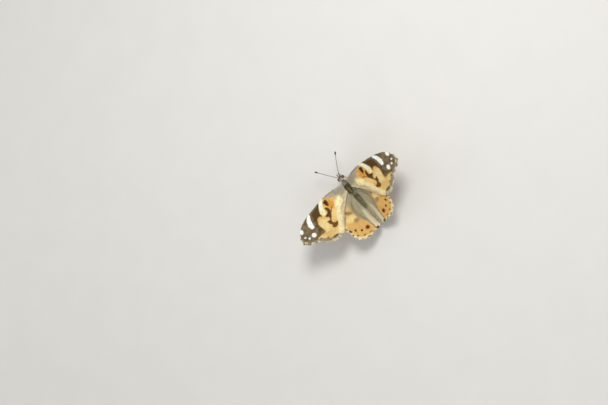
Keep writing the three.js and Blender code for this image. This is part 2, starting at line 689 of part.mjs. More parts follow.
for (const side of ['left', 'right']) {
  const fore = { ...FOREWING, height: foreHeight(TIP_DROOP[side]), innerMargin: () => [] };
  const hind = { ...HINDWING, height: hindHeight, innerMargin: hindInnerMargin };
  const place = side === 'left' ? (geometry) => geometry : mirrored;
  addNode(butterfly, `forewing_${side}`, place(wingGeometry(fore, FORE_SWING[side])), 'forewing');
  addNode(butterfly, `hindwing_${side}`, place(wingGeometry(hind, HIND_SWING[side])), 'hindwing');
}
for (const [name, leg] of Object.entries(LEGS)) addLegPair(butterfly, name, leg);

// The origin lies under the middle of the whole butterfly.
butterfly.updateMatrixWorld(true);
const reachBox = new THREE.Box3().setFromObject(butterfly, true);
const middle = reachBox.getCenter(v3(0, 0, 0));
butterfly.position.set(-middle.x, -middle.y, WING_ROOT_HEIGHT);

export default butterfly;
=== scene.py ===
import math

import bmesh
import bpy
import numpy as np
from mathutils import Matrix, Vector
from mathutils.geometry import delaunay_2d_cdt


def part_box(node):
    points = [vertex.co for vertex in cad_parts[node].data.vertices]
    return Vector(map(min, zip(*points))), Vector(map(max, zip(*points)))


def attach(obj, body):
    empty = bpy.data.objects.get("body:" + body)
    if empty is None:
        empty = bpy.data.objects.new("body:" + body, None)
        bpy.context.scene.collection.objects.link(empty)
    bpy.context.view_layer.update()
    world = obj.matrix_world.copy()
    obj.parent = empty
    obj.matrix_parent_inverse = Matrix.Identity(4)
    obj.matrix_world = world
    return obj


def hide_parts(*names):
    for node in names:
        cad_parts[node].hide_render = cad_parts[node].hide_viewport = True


# A painted lady butterfly, life size, wings held open in a shallow V.
# Shapes are worked out in millimetres from the point midway between the roots of the
# forewings: x to the butterfly's left, y backwards, z up. They turn to metres in addPiece.

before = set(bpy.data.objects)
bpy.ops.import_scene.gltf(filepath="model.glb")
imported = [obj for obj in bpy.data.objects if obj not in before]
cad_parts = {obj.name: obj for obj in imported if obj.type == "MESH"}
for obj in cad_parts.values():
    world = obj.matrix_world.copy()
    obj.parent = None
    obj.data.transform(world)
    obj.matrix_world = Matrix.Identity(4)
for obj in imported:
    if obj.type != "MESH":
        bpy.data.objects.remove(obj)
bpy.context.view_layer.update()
print("frame loaded")

draw = np.random.default_rng(11)      # every random choice comes from this one seed
stance = {
    "wingRootHeight": 7.6,            # above the floor
    "thoraxBack": 6.865,              # back of the thorax behind the wing roots
    "bodyPitch": 6.0,                 # degrees, nose up
    "thoraxDrop": 1.3,                # body axis below the wing roots
}
thoraxLow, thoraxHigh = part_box("thorax")
rootPoint = np.array([
    500 * (thoraxLow[0] + thoraxHigh[0]),
    1000 * thoraxHigh[1] - stance["thoraxBack"],
    stance["wingRootHeight"]])


# Small tools

def linearColour(code):
    # "#rrggbb" in sRGB to linear light
    parts = np.array([int(code[k:k + 2], 16) for k in (1, 3, 5)]) / 255
    return np.where(parts <= 0.04045, parts / 12.92, ((parts + 0.055) / 1.055) ** 2.4)


def plain(code, count):
    return np.tile(linearColour(code), (count, 1))


def blendTo(colours, share, code):
    # lays one colour over others, by a share for each point
    return colours + (linearColour(code) - colours) * np.asarray(share)[:, None]


def layered(colours, *layers):
    # lays colours on in turn, each a share for each point and a colour
    for share, code in layers:
        colours = blendTo(colours, share, code)
    return colours


def varied(colours, least, most):
    # each hair or scale a little darker or lighter than the next
    return colours * draw.uniform(least, most, len(colours))[:, None]


def unit(vectors):
    return vectors / np.maximum(np.linalg.norm(vectors, axis=-1, keepdims=True), 1e-9)


def smoothStep(low, high, value):
    t = np.clip((value - low) / (high - low), 0, 1)
    return t * t * (3 - 2 * t)


def plateau(low, high, end, past, value):
    # rises from low to high, falls again from end to past
    return smoothStep(low, high, value) * (1 - smoothStep(end, past, value))


def patchNoise(u, v, size, seed):
    # smooth noise from 0 to 1, with features about `size` across
    x, y = u / size, v / size
    column, row = np.floor(x), np.floor(y)
    tx, ty = smoothStep(0, 1, x - column), smoothStep(0, 1, y - row)

    def corner(i, j):
        value = np.sin((column + i) * 127.1 + (row + j) * 311.7 + seed * 74.7) * 43758.5453
        return value - np.floor(value)

    low = corner(0, 0) * (1 - tx) + corner(1, 0) * tx
    high = corner(0, 1) * (1 - tx) + corner(1, 1) * tx
    return low * (1 - ty) + high * ty


def smoothPath(corners, step):
    # centripetal curve through each corner; also gives where the corners are in it
    p = np.asarray(corners, float)
    ends = np.vstack([2 * p[0] - p[1], p, 2 * p[-1] - p[-2]])
    spans, places = [], [0]
    for a, b, c, d in zip(ends, ends[1:], ends[2:], ends[3:]):
        g0, g1, g2 = (max(np.linalg.norm(s - r), 1e-6) ** 0.5 for r, s in ((a, b), (b, c), (c, d)))
        leave = ((b - a) / g0 - (c - a) / (g0 + g1) + (c - b) / g1) * g1
        arrive = ((c - b) / g1 - (d - b) / (g1 + g2) + (d - c) / g2) * g1
        count = max(1, round(np.linalg.norm(c - b) / step))
        t = (np.arange(count) / count)[:, None]
        spans.append((2 * t**3 - 3 * t**2 + 1) * b + (t**3 - 2 * t**2 + t) * leave
                     + (3 * t**2 - 2 * t**3) * c + (t**3 - t**2) * arrive)
        places.append(places[-1] + count)
    return np.vstack([*spans, p[-1:]]), places


def lineDistance(points, line, widths=None):
    # distance to a line of points, less its half width there
    best = np.full(len(points), 1e9)
    halves = np.zeros(len(line)) if widths is None else np.asarray(widths, float) / 2
    for a, b, ha, hb in zip(line, line[1:], halves, halves[1:]):
        along = b - a
        t = np.clip((points - a) @ along / max(along @ along, 1e-12), 0, 1)
        gap = np.linalg.norm(points - a - t[:, None] * along, axis=1) - ha - t * (hb - ha)
        best = np.minimum(best, gap)
    return best


def insideOf(points, outline):
    # whether each point is inside a closed outline
    inside = np.zeros(len(points), bool)
    x, y = points[:, 0], points[:, 1]
    for (ax, ay), (bx, by) in zip(outline, np.roll(outline, -1, axis=0)):
        if ay == by:
            continue
        crosses = (ay > y) != (by > y)
        inside ^= crosses & (x < ax + (y - ay) * (bx - ax) / (by - ay))
    return inside


def outlineDistance(points, outline):
    # negative inside a closed outline
    gap = lineDistance(points, np.vstack([outline, outline[:1]]))
    return np.where(insideOf(points, outline), -gap, gap)


# Pieces, drawn for the left side and mirrored for the right

def addPiece(name, material, slotName, points, faces, colours=None, patches=None, side="left",
             replaced=()):
    # faces are triangles; patches places each point of a coat in the map that a bake uses,
    # and what has none is a skin, which is shaded smooth
    mesh = bpy.data.meshes.new(name)
    faces = np.asarray(faces, np.int32)
    if side == "right":
        points, faces = points * (-1, 1, 1), faces[:, [0, 2, 1]]
    mesh.vertices.add(len(points))
    mesh.vertices.foreach_set("co", ((points + rootPoint) * 0.001).astype(np.float32).ravel())
    mesh.loops.add(faces.size)
    mesh.loops.foreach_set("vertex_index", faces.ravel())
    mesh.polygons.add(len(faces))
    mesh.polygons.foreach_set("loop_start", np.arange(0, faces.size, 3, dtype=np.int32))
    mesh.polygons.foreach_set("use_smooth", np.full(len(faces), patches is None))
    mesh.update(calc_edges=True)
    if colours is not None:
        layer = mesh.color_attributes.new("markings", "FLOAT_COLOR", "POINT")
        rgba = np.c_[colours, np.ones(len(colours))]
        layer.data.foreach_set("color", rgba.astype(np.float32).ravel())
    if patches is not None:
        layer = mesh.uv_layers.new(name="OFBake")
        layer.data.foreach_set("uv", patches[faces.ravel()].astype(np.float32).ravel())
    mesh.materials.append(material)
    piece = bpy.data.objects.new(name, mesh)
    bpy.context.scene.collection.objects.link(piece)
    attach(piece, "root")
    if replaced:
        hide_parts(*replaced)


def joined(parts):
    # several (points, faces[, colours, patches]) as one
    offsets = np.cumsum([0] + [len(part[0]) for part in parts])
    faces = np.vstack([part[1] + start for part, start in zip(parts, offsets)])
    points, *others = (np.vstack([part[k] for part in parts]) for k in range(len(parts[0])) if k != 1)
    return [points, faces, *others]


def tubeSkin(rings):
    # a closed skin over rings of points, with a fan over each end
    count, sides = rings.shape[:2]
    i = np.arange(sides)
    j = (i + 1) % sides
    faces = []
    for r in range(count - 1):
        a, b = r * sides + i, r * sides + j
        faces += [np.c_[a, b, b + sides], np.c_[a, b + sides, a + sides]]
    last = (count - 1) * sides
    hub = count * sides
    faces += [np.c_[j, i, np.full(sides, hub)], np.c_[last + i, last + j, np.full(sides, hub + 1)]]
    hubs = rings[[0, -1]].mean(axis=1)
    return np.vstack([rings.reshape(-1, 3), hubs]), np.vstack(faces)


def tubeRings(path, wide, high, sides, reference=(0, 0, 1)):
    # rings square to a path; the reference sets which way is high
    along = unit(np.gradient(path, axis=0))
    across = unit(np.cross(along, reference))
    upright = np.cross(across, along)
    turn = 2 * np.pi * np.arange(sides) / sides
    wide = np.broadcast_to(wide, len(path))[:, None, None]
    high = np.broadcast_to(high, len(path))[:, None, None]
    return (path[:, None] + wide * np.cos(turn)[None, :, None] * across[:, None]
            - high * np.sin(turn)[None, :, None] * upright[:, None])


hairShape = {
    # hairs are drawn thicker than real ones, to show
    "taper": 0.45,                     # of its width, lost on the way to the last joint
    "aside": (0.31, 0.22, 0.92),       # a way along which no hair lies
    "patch": 0.003,                    # size in the map that a bake uses, of a scale too
}


def repeated(corners, count, faces):
    # one hair or scale's faces and its lists of points, colours and map places, for each of many
    start = (np.arange(count) * len(corners[0]))[:, None, None]
    points, colours, patches = (np.stack(column, 1) for column in corners)
    return (points.reshape(-1, 3), (start + np.array(faces)).reshape(-1, 3),
            colours.reshape(-1, 3), patches.reshape(-1, 2))


def spikes(roots, ways, lengths, width, colours, shades, places, sag=(0, 0, 0), joints=2):
    # tapered three-sided hairs that bend by `sag`, shaded from root to tip, each a closed mesh
    lengths = np.broadcast_to(lengths, len(roots))[:, None]
    side = unit(np.cross(ways, hairShape["aside"]))
    over = np.cross(ways, side)
    rootColours, tipColours = colours * shades[0], np.minimum(colours * shades[1], 1)
    corners = [], [], []
    for k in range(joints + 1):
        t = k / joints
        middle = roots + ways * lengths * t + np.asarray(sag) * lengths * t * t
        for c in range(3) if k < joints else range(1):
            turn = 2 * math.pi * c / 3
            swell = width * (1 - hairShape["taper"] * t) if k < joints else 0
            corners[0].append(middle + swell * (math.cos(turn) * side + math.sin(turn) * over))
            corners[1].append(rootColours + (tipColours - rootColours) * t)
            corners[2].append(places + hairShape["patch"] * np.array([(c - 1) / 2.2, t - 0.5]))
    faces, tip = [[0, 2, 1]], 3 * joints
    for a in range(tip):
        b = a + 1 if a % 3 < 2 else a - 2
        faces += [[a, b, b + 3], [a, b + 3, a + 3]] if a + 3 < tip else [[a, b, tip]]
    return repeated(corners, len(roots), faces)


scaleShape = [
    # one wing scale, spoon-shaped with a blunt tip: across, along, height
    (0, -0.05, -0.05), (0.46, 0.4, 0.05), (0.36, 0.88, 0.14), (0, 1.0, 0.17), (-0.36, 0.88, 0.14),
    (-0.46, 0.4, 0.05), (0, 0.55, 0.2),
]
scaleFaces = [[6, k, (k + 1) % 6] for k in range(6)] + [[0, 5, 1], [1, 5, 4], [1, 4, 2], [2, 4, 3]]


def scales(roots, ways, normals, lengths, widths, colours, places):
    # overlapping scales, each a thin closed wedge whose tip stands a little proud
    across = unit(np.cross(normals, ways)) * widths[:, None]
    lengths = lengths[:, None]
    corners = [], [], []
    for a, l, h in scaleShape:
        corners[0].append(roots + a * across + l * lengths * ways + h * lengths * normals)
        corners[1].append(colours * (0.9 + 0.16 * l))
        corners[2].append(places + hairShape["patch"] * np.array([a, l - 0.5]))
    return repeated(corners, len(roots), scaleFaces)


# Materials

def addNode(tree, kind, settings=None, links=None):
    # adds a node, sets its properties and sockets, and links sockets from other nodes
    node = tree.nodes.new(kind)
    for name, value in (settings or {}).items():
        if isinstance(name, str) and hasattr(node, name):
            setattr(node, name, value)
        else:
            node.inputs[name].default_value = value
    for name, source in (links or {}).items():
        tree.links.new(source, node.inputs[name])
    return node


def newMaterial(name, settings):
    material = bpy.data.materials.new(name)
    material.use_nodes = True
    tree = material.node_tree
    tree.nodes.clear()
    shader = addNode(tree, "ShaderNodeBsdfPrincipled", settings)
    output = addNode(tree, "ShaderNodeOutputMaterial")
    tree.links.new(shader.outputs[0], output.inputs[0])
    return tree, shader, material


grainSpan = {"From Min": 0.3, "From Max": 0.7}       # where nearly all of a noise texture lies


def chitinMaterial(name, settings, grain, contrast, roughness, bump, tint=None):
    # chitin or its scales and hair: colour from the markings or one tint, broken up by a
    # fine grain in millimetres, with roughness and relief from the same grain
    tree, shader, material = newMaterial(name, settings)
    place = addNode(tree, "ShaderNodeTexCoord")
    noise = addNode(tree, "ShaderNodeTexNoise", {"Scale": 1000 / grain, "Detail": 3.0},
                    {"Vector": place.outputs["Object"]}).outputs["Fac"]
    if tint is None:
        colour = addNode(tree, "ShaderNodeVertexColor", {"layer_name": "markings"})
    else:
        colour = addNode(tree, "ShaderNodeValToRGB", None, {"Fac": noise})
        for stop, code, spot in zip(colour.color_ramp.elements, tint, (0.35, 0.68)):
            stop.position = spot
            stop.color = (*linearColour(code), 1)
    value = addNode(tree, "ShaderNodeMapRange",
                    {**grainSpan, "To Min": 1 - contrast, "To Max": 1 + contrast}, {"Value": noise})
    shade = addNode(tree, "ShaderNodeHueSaturation", None,
                    {"Value": value.outputs[0], "Color": colour.outputs[0]})
    rough = addNode(tree, "ShaderNodeMapRange",
                    {**grainSpan, "To Min": roughness[0], "To Max": roughness[1]}, {"Value": noise})
    relief = addNode(tree, "ShaderNodeBump", {"Strength": bump, "Distance": grain * 0.0004},
                     {"Height": noise})
    for node, socket in ((shade, "Base Color"), (rough, "Roughness"), (relief, "Normal")):
        tree.links.new(node.outputs[0], shader.inputs[socket])
    return material


# Powdery wing scales: ribbed chitin plates, dull from every side
wingScaleChitin = chitinMaterial(
    "wing scale chitin", {"IOR": 1.56, "Specular IOR Level": 0.22},
    grain=0.35, contrast=0.1, roughness=(0.6, 0.8), bump=0.15)
# Wing membrane under the scales, the same markings with a soft gloss
wingMembrane = chitinMaterial(
    "wing membrane chitin", {"IOR": 1.56, "Specular IOR Level": 0.3},
    grain=0.5, contrast=0.08, roughness=(0.5, 0.65), bump=0.2)
# Hair of the body: fine solid chitin hairs, faintly silky along the coat
bodyHair = chitinMaterial(
    "body hair chitin",
    {"IOR": 1.55, "Specular IOR Level": 0.3, "Sheen Weight": 0.1, "Sheen Roughness": 0.5},
    grain=0.4, contrast=0.16, roughness=(0.5, 0.7), bump=0.1)
# Cuticle under the hair: hard brown chitin, nearly matt
bodyCuticle = chitinMaterial(
    "body cuticle", {"IOR": 1.56, "Specular IOR Level": 0.35},
    grain=0.25, contrast=0.12, roughness=(0.5, 0.7), bump=0.4)
# Compound eye: glossy chitin lenses over hazel pigment
eyeLens = chitinMaterial(
    "compound eye lens", {"IOR": 1.5, "Coat Weight": 0.2, "Coat Roughness": 0.12},
    grain=0.3, contrast=0.08, roughness=(0.22, 0.35), bump=0.1)
# Tongue: bare brown chitin rings, satin
tongueChitin = chitinMaterial(
    "tongue chitin", {"IOR": 1.56},
    grain=0.15, contrast=0.15, roughness=(0.35, 0.5), bump=0.3, tint=("#4A311C", "#6F4D2E"))
# Claws and spines: dark glossy chitin
clawChitin = chitinMaterial(
    "claw chitin", {"IOR": 1.56},
    grain=0.2, contrast=0.12, roughness=(0.3, 0.45), bump=0.2, tint=("#2A1D14", "#4A3524"))
print("materials made")


# Camera at the photograph's angle

camera = {
    "azimuth": -137.2,                # from the right side, behind
    "elevation": 65.1,
    "roll": 85.46,                    # the picture's top is the butterfly's right front
    "lens": 85.0,
    "sensor": 36.0,
    "pixelsPerMillimetre": 2.10,
    "picture": (608, 405),
    "rootPixel": (344.3, 182.9),      # where the wing roots stand in the picture
}


def makeCamera():
    azimuth, elevation, roll = (math.radians(camera[k]) for k in ("azimuth", "elevation", "roll"))
    back = Vector((math.sin(azimuth) * math.cos(elevation),
                   -math.cos(azimuth) * math.cos(elevation), math.sin(elevation)))
    level = Vector((0, 0, 1)).cross(back).normalized()
    upright = back.cross(level)
    up = upright * math.cos(roll) + level * math.sin(roll)
    right = up.cross(back)
    width, height = camera["picture"]
    focal = camera["lens"] / camera["sensor"] * width     # in pixels
    distance = focal / camera["pixelsPerMillimetre"] * 0.001
    aside = (camera["rootPixel"][0] - width / 2) / focal * distance
    above = (height / 2 - camera["rootPixel"][1]) / focal * distance
    place = Vector(rootPoint * 0.001) + back * distance - right * aside - up * above
    data = bpy.data.cameras.new("camera")
    data.lens, data.sensor_width = camera["lens"], camera["sensor"]
    data.clip_start = 0.005
    eye = bpy.data.objects.new("camera", data)
    eye.matrix_world = Matrix.Translation(place) @ Matrix((right, up, back)).transposed().to_4x4()
    bpy.context.scene.collection.objects.link(eye)
    bpy.context.scene.camera = eye


makeCamera()
print("camera placed")


# Body: one skin from the head to the tip of the abdomen, s along its axis

body = {
    "profile": [                       # s, half width, half height, coat included
        (-4.3, 0.05, 0.05), (-4.2, 0.55, 0.5), (-3.9, 1.05, 1.0), (-3.3, 1.42, 1.42),
        (-2.7, 1.45, 1.5), (-2.1, 1.2, 1.3), (-1.65, 1.0, 1.1), (-1.3, 1.1, 1.2),
        (-0.8, 1.6, 1.65), (0.3, 2.05, 2.1), (1.8, 2.4, 2.4), (3.6, 2.4, 2.4),
        (5.2, 2.05, 2.15), (6.3, 1.6, 1.75), (7.0, 1.4, 1.5), (8.2, 1.6, 1.65),
        (10.2, 1.72, 1.75), (12.4, 1.65, 1.65), (14.3, 1.42, 1.4), (15.9, 1.08, 1.08),
        (16.9, 0.75, 0.75), (17.3, 0.42, 0.42), (17.4, 0.12, 0.12)],
    "headLift": 0.15,
    "abdomenStart": 7.05,
    "abdomenEnd": 17.4,
    "abdomenSag": 1.3,
    "segments": 8,
    "coatDepth": [(-4.3, 0.25), (-1.6, 0.35), (0.5, 0.5), (5.5, 0.5), (7.5, 0.3), (17.4, 0.16)],
    "around": 96,
    "ringStep": 0.1,
    "cuticleShade": 0.6,               # the skin is darker than its coat
}
eye = {"centre": (1.06, -3.15, 0.22), "radii": (0.95, 0.95, 1.15), "facets": 1300, "relief": 0.02}
bodyCurve, _ = smoothPath(body["profile"], 0.05)


def segmentPlace(s):
    # place inside a segment of the abdomen, 0 at its front edge
    length = (body["abdomenEnd"] - body["abdomenStart"]) / body["segments"]
    return ((s - body["abdomenStart"]) / length) % 1.0


def bodyAxis(s):
    share = np.clip((s - body["abdomenStart"]) / (body["abdomenEnd"] - body["abdomenStart"]), 0, 1)
    return (body["headLift"] * (1 - smoothStep(-2.4, -1.2, s)) - body["abdomenSag"] * share ** 2)


def bodyReach(s, depth=0.0):
    # half width and half height of the coat's surface, less a depth
    wide = np.interp(s, bodyCurve[:, 0], bodyCurve[:, 1])
    high = np.interp(s, bodyCurve[:, 0], bodyCurve[:, 2])
    return np.maximum(wide - depth, 0.03), np.maximum(high - depth, 0.03)


def coatDepth(s):
    return np.interp(s, *np.array(body["coatDepth"]).T)


def fromBody(points):
    # from the body's own frame, s backwards along its axis, to the wing roots' frame
    pitch = math.radians(stance["bodyPitch"])
    x, s, h = points[..., 0], points[..., 1], points[..., 2]
    return np.stack([x, s * math.cos(pitch) + h * math.sin(pitch),
                     h * math.cos(pitch) - s * math.sin(pitch) - stance["thoraxDrop"]], -1)


def skinPoint(s, angle):
    # skin under the coat; the angle runs from the left side over the back
    wide, high = bodyReach(s, coatDepth(s))
    onAbdomen = smoothStep(7.2, 7.6, s)
    part = segmentPlace(s)
    ring = 1 - 0.09 * onAbdomen * (np.exp(-((part / 0.13) ** 2)) + np.exp(-(((part - 1) / 0.05) ** 2)))
    groove = 0.06 * np.exp(-((np.cos(angle) / 0.12) ** 2)) * plateau(0.2, 1.5, 3.2, 4, s)
    groove = groove * (np.sin(angle) > 0)              # along the back of the thorax
    x = wide * ring * np.cos(angle)
    h = high * (ring - groove) * np.sin(angle) + bodyAxis(s)
    return np.stack([x, s, h], -1)


def bodyColours(s, angle):
    # markings of the body's coat
    wide, high = bodyReach(s)
    x, top = wide * np.cos(angle), np.sin(angle)
    above = smoothStep(-0.1, 0.25, top)
    flanks = smoothStep(0.7, 1.4, np.abs(x))
    onHead = 1 - smoothStep(-2.0, -1.6, s)
    onThorax = plateau(-1.2, -0.4, 6.0, 6.8, s) * above
    onAbdomen = smoothStep(6.5, 7.2, s)

    def thoraxOval(atS, atX, long, broad, core, edge):
        return onThorax * (1 - smoothStep(core, edge, np.hypot((s - atS) / long, (x - atX) / broad)))

    shoulders = plateau(-1.2, -0.4, 2.2, 3.4, s) * smoothStep(-0.3, 0.05, top)
    rear = onThorax * smoothStep(4.6, 6.0, s) * flanks
    offEye = np.sqrt(sum(((place - middle) / radius) ** 2 for place, middle, radius in zip(
        (np.abs(x), s, high * top + bodyAxis(s)), eye["centre"], eye["radii"])))
    collar = np.exp(-(((s + 1.6) / 0.3) ** 2)) * above
    part = segmentPlace(s)
    band = plateau(0.1, 0.28, 0.74, 0.94, part)
    middle = np.exp(-((x / (0.6 * wide + 0.1)) ** 2))
    rings = onAbdomen * (1 - smoothStep(0.0, 0.14, part)) * above * (0.25 + 0.4 * smoothStep(9, 13, s))
    first = np.exp(-(((s - 8.3) / 1.0) ** 2)) * smoothStep(0.3, 0.7, top)
    side = onAbdomen * np.exp(-(((top - 0.05) / 0.16) ** 2))
    colours = layered(
        plain("#CFC6AC", len(s)),                                          # pale underneath
        (smoothStep(-0.35, 0.15, top), "#A39A80"),
        (onThorax, "#A8A288"),
        (shoulders * flanks * 0.8, "#5F5938"),
        (thoraxOval(3.1, 0.15, 3.3, 1.9, 0.75, 1.1), "#4B4520"),           # dark back
        (thoraxOval(-0.1, -0.1, 0.9, 1.1, 0.6, 1.2) * 0.8, "#979A8C"),     # blue-grey behind the collar
        (thoraxOval(3.7, 0.1, 2.5, 0.95, 0.45, 1.15) * 0.85, "#97845A"),   # golden middle
        (rear * 0.6, "#A3A698"),
        (onHead * above, "#D2C0AA"),
        (onHead * above * np.exp(-((x / 0.28) ** 2)) * 0.3, "#75644C"),
        (onHead * (1 - smoothStep(1.1, 1.3, offEye)) * 0.8, "#E9E2D0"),    # pale orbits
        (collar * 0.9, "#5A4C2A"),
        (onAbdomen * above * 0.9, "#8F8A68"),
        (onAbdomen * above * middle * (0.4 + 0.5 * band), "#5E5A36"),      # dark bands
        (onAbdomen * above * band * 0.3, "#6A6440"),
        (rings, "#C6BD98"),
        (first * 0.85, "#694C36"),                                         # brown first segments
        (side * 0.7, "#D8CCA8"),
        (smoothStep(14.9, 16.4, s) * 0.9, "#DACBA2"))                      # buff tip, painted lighter than its own buff against the shade between the hindwings
    grain = patchNoise(s + 20, x * 1.3 + 9, 0.5, 3)
    return colours * (0.82 + 0.36 * grain)[:, None]


def makeBodySkin():
    s = np.arange(body["profile"][0][0], body["profile"][-1][0], body["ringStep"])
    angle = -2 * np.pi * np.arange(body["around"]) / body["around"]
    grid = np.meshgrid(s, angle, indexing="ij")
    points, faces = tubeSkin(fromBody(skinPoint(*grid)))
    colours = bodyColours(grid[0].ravel(), grid[1].ravel()) * body["cuticleShade"]
    colours = np.vstack([colours, colours[:1], colours[-1:]])
    addPiece("bodySkin", bodyCuticle, "body_hair", points, faces, colours,
             replaced=("thorax", "abdomen", "head"))


bodyCoats = {
    # from s, to s, hairs, length, width, lift in degrees
    "headCoat": (-4.29, -1.5, 7000, 0.55, 0.026, 38),
    "thoraxCoat": (-1.5, 7.3, 15000, 1.05, 0.03, 24),
    "abdomenCoat": (6.6, 17.39, 15500, 0.5, 0.034, 15),
}
coatShape = {
    "faceLift": 72,                    # hairs of the face stand forward
    "spread": 0.22, "rootDepth": 0.06, "sag": 0.18, "shades": (0.72, 1.25),
    "shorter": [(-4.2, 0.8), (-3.2, 1), (-1.0, 0.9), (1, 1), (6, 1), (15.5, 0.9), (17, 0.7)],
}


def bodySamples(low, high, count):
    # places on the skin, even over its area
    s, wide = bodyCurve[:, 0], bodyCurve[:, 1]
    strips = np.hypot(np.diff(s), np.diff(wide)) * (wide[1:] + wide[:-1])
    area = np.append(0, np.cumsum(strips))
    ends = np.interp([low, high], s, area)
    return np.interp(draw.uniform(*ends, count), area, s), draw.uniform(-np.pi, np.pi, count)


def skinFrame(s, angle):
    # point of the skin, its outward normal, and the ways backward and around
    here = fromBody(skinPoint(s, angle))
    back = unit(fromBody(skinPoint(s + 0.06, angle)) - fromBody(skinPoint(s - 0.06, angle)))
    around = unit(fromBody(skinPoint(s, angle + 0.02)) - fromBody(skinPoint(s, angle - 0.02)))
    normal = unit(np.cross(back, around))
    inward = (normal * (here - fromBody(np.stack([0 * s, s, bodyAxis(s)], -1)))).sum(1) < 0
    return here, np.where(inward[:, None], -normal, normal), back, around


def makeBodyCoat(name, low, high, count, length, width, lift):
    s, angle = bodySamples(low, high, count)
    here, normal, back, around = skinFrame(s, angle)
    forward = smoothStep(-3.7, -4.2, s)
    lift = lift * draw.uniform(0.6, 1.5, count) * (1 - forward) + coatShape["faceLift"] * forward
    lift = np.radians(lift)[:, None]
    flow = unit(back + draw.normal(0, coatShape["spread"], count)[:, None] * around)
    ways = unit(flow * np.cos(lift) + normal * np.sin(lift))
    lengths = length * draw.uniform(0.65, 1.2, count) * np.interp(s, *np.array(coatShape["shorter"]).T)
    colours = varied(bodyColours(s, angle), 0.8, 1.25)
    places = np.c_[(angle / (2 * np.pi)) % 1.0 * 0.96 + 0.02, 0.02 + 0.96 * (s - low) / (high - low)]
    coat = spikes(here - coatShape["rootDepth"] * normal, ways, lengths, width, colours,
                  coatShape["shades"], places, -coatShape["sag"] * normal)
    addPiece(name, bodyHair, "abdomen_hair" if name == "abdomenCoat" else "body_hair", *coat)


makeBodySkin()
for name, coat in bodyCoats.items():
    makeBodyCoat(name, *coat)
print("body made")


# Wings: outlines run from the front of the root round the apex to the inner margin; a name
# tells which vein ends there

wingShape = {
    "hingeX": 2.2, "slopeOut": 0.46, "slopeBack": -0.02, "camber": 0.55, "camberSpan": 27.0,
    "droopFrom": 24.0, "droopSpan": 7.0, "hindDrop": 1.35, "hindFold": 0.5,
    "halfRoot": 0.1, "halfMargin": 0.05,           # half thickness of the bare membrane
    "veinRoot": 0.15, "veinMargin": 0.08,          # rise of a vein
    "veinFoot": 0.2, "pleat": 0.06, "grid": 0.24,
    "membraneShade": 0.85, "farFromVeins": 9.0,
    "scaleStep": 0.21, "scaleLength": 0.36, "scaleWidth": 0.27,    # larger than real ones, to show
    "mapCorner": (-1.0, -2.0), "mapSpan": 34.0,    # the wing laid flat, as a bake's map has it
}
forewing = {
    "kind": "forewing", "hinge": (2.2, 1.5), "swing": {"left": -2.6, "right": 2.6},
    "droop": {"left": 0.4, "right": 0.6}, "nudge": -0.08, "scallop": 0.4, "scallopFrom": "R4",
    "root": ((1.2, -0.6), (1.2, 3.5)), "reach": 33.0, "fringe": 0.55,
    "outline": [
        (3.4, -0.75), (7.5, -0.75), (11.5, -0.3), (15.5, 0.75, "Sc"), (19.2, 1.85, "R1"),
        (22.3, 2.85, "R2"), (26.2, 4.8, "R3"), (29.4, 7.1, "R4"), (31.0, 10.0, "R5"),
        (31.1, 13.1, "M1"), (28.8, 15.2, "M2"), (26.0, 16.1, "M3"), (23.3, 17.8, "CuA1"),
        (20.6, 19.9, "CuA2"), (17.3, 21.2, "A2"), (14.4, 20.0), (12.3, 18.0), (7.4, 10.7)],
    "forks": {
        "R1": (13.0, 2.35), "R2": (15.6, 3.35), "cellTop": (17.0, 4.0), "R3": (21.6, 5.1),
        "R4": (25.4, 6.6), "M1": (17.5, 5.1), "M2": (17.5, 6.5), "M3": (16.9, 7.9),
        "cellEnd": (15.7, 8.9), "CuA2": (11.6, 6.3)},
    "veins": [
        [(1.6, 0.0), (9, 0.15), "Sc"],
        [(1.6, 0.95), (8.5, 1.3), "fork R1", "fork R2", "fork cellTop", "fork R3", "fork R4", "R5"],
        ["fork R1", "R1"], ["fork R2", "R2"], ["fork R3", "R3"], ["fork R4", "R4"],
        ["fork cellTop", "fork M1", "fork M2", "fork M3", "fork cellEnd"],
        ["fork M1", (24.5, 8.2), "M1"], ["fork M2", (23.5, 10.6), "M2"],
        ["fork M3", (21.6, 12), "M3"],
        [(1.6, 1.9), (7.2, 4.1), "fork CuA2", "fork cellEnd", "CuA1"],
        ["fork CuA2", (16.4, 13), "CuA2"], [(1.6, 2.9), (8.1, 9.5), "A2"]],
}
hindwing = {
    "kind": "hindwing", "hinge": (2.2, 5.0), "swing": {"left": 1.1, "right": -1.1},
    "droop": {"left": 0.0, "right": 0.0}, "nudge": 0.12, "scallop": 0.55, "scallopFrom": "Rs",
    "root": ((1.0, 4.1), (1.0, 6.5)), "reach": 25.0, "fringe": 0.6,
    "outline": [
        (4.6, 5.6), (8.5, 8.9), (11.6, 12.3), (13.7, 15.5, "Sc"), (14.5, 18.2, "Rs"),
        (13.9, 20.8, "M1"), (13.6, 23.4, "M2"), (12.5, 26.2, "M3"), (9.9, 28.1, "CuA1"),
        (6.6, 28.6, "CuA2"), (3.5, 27.7, "A2"), (1.5, 26.7)],
    "forks": {
        "cellTop": (7.9, 11.8), "M1": (8.3, 12.8), "M2": (8.1, 14.1), "cellEnd": (7.3, 15.2),
        "CuA2": (5.8, 12.9)},
    "veins": [
        [(1.3, 4.5), (6.4, 7.9), (10.7, 12.1), "Sc"], [(1.3, 5.0), (5, 8.1), "fork cellTop", "Rs"],
        ["fork cellTop", "fork M1", "fork M2", "fork cellEnd"], ["fork M1", "M1"],
        ["fork M2", "M2"], ["fork cellEnd", (9.7, 20.4), "M3"],
        [(1.3, 5.6), (4.1, 9.4), "fork CuA2", "fork cellEnd", (8.3, 21), "CuA1"],
        ["fork CuA2", "CuA2"], [(1.3, 6.2), (3.3, 13.5), (3.2, 20.5), "A2"]],
    "seamHalfGap": 0.12, "flank": 0.86,
}


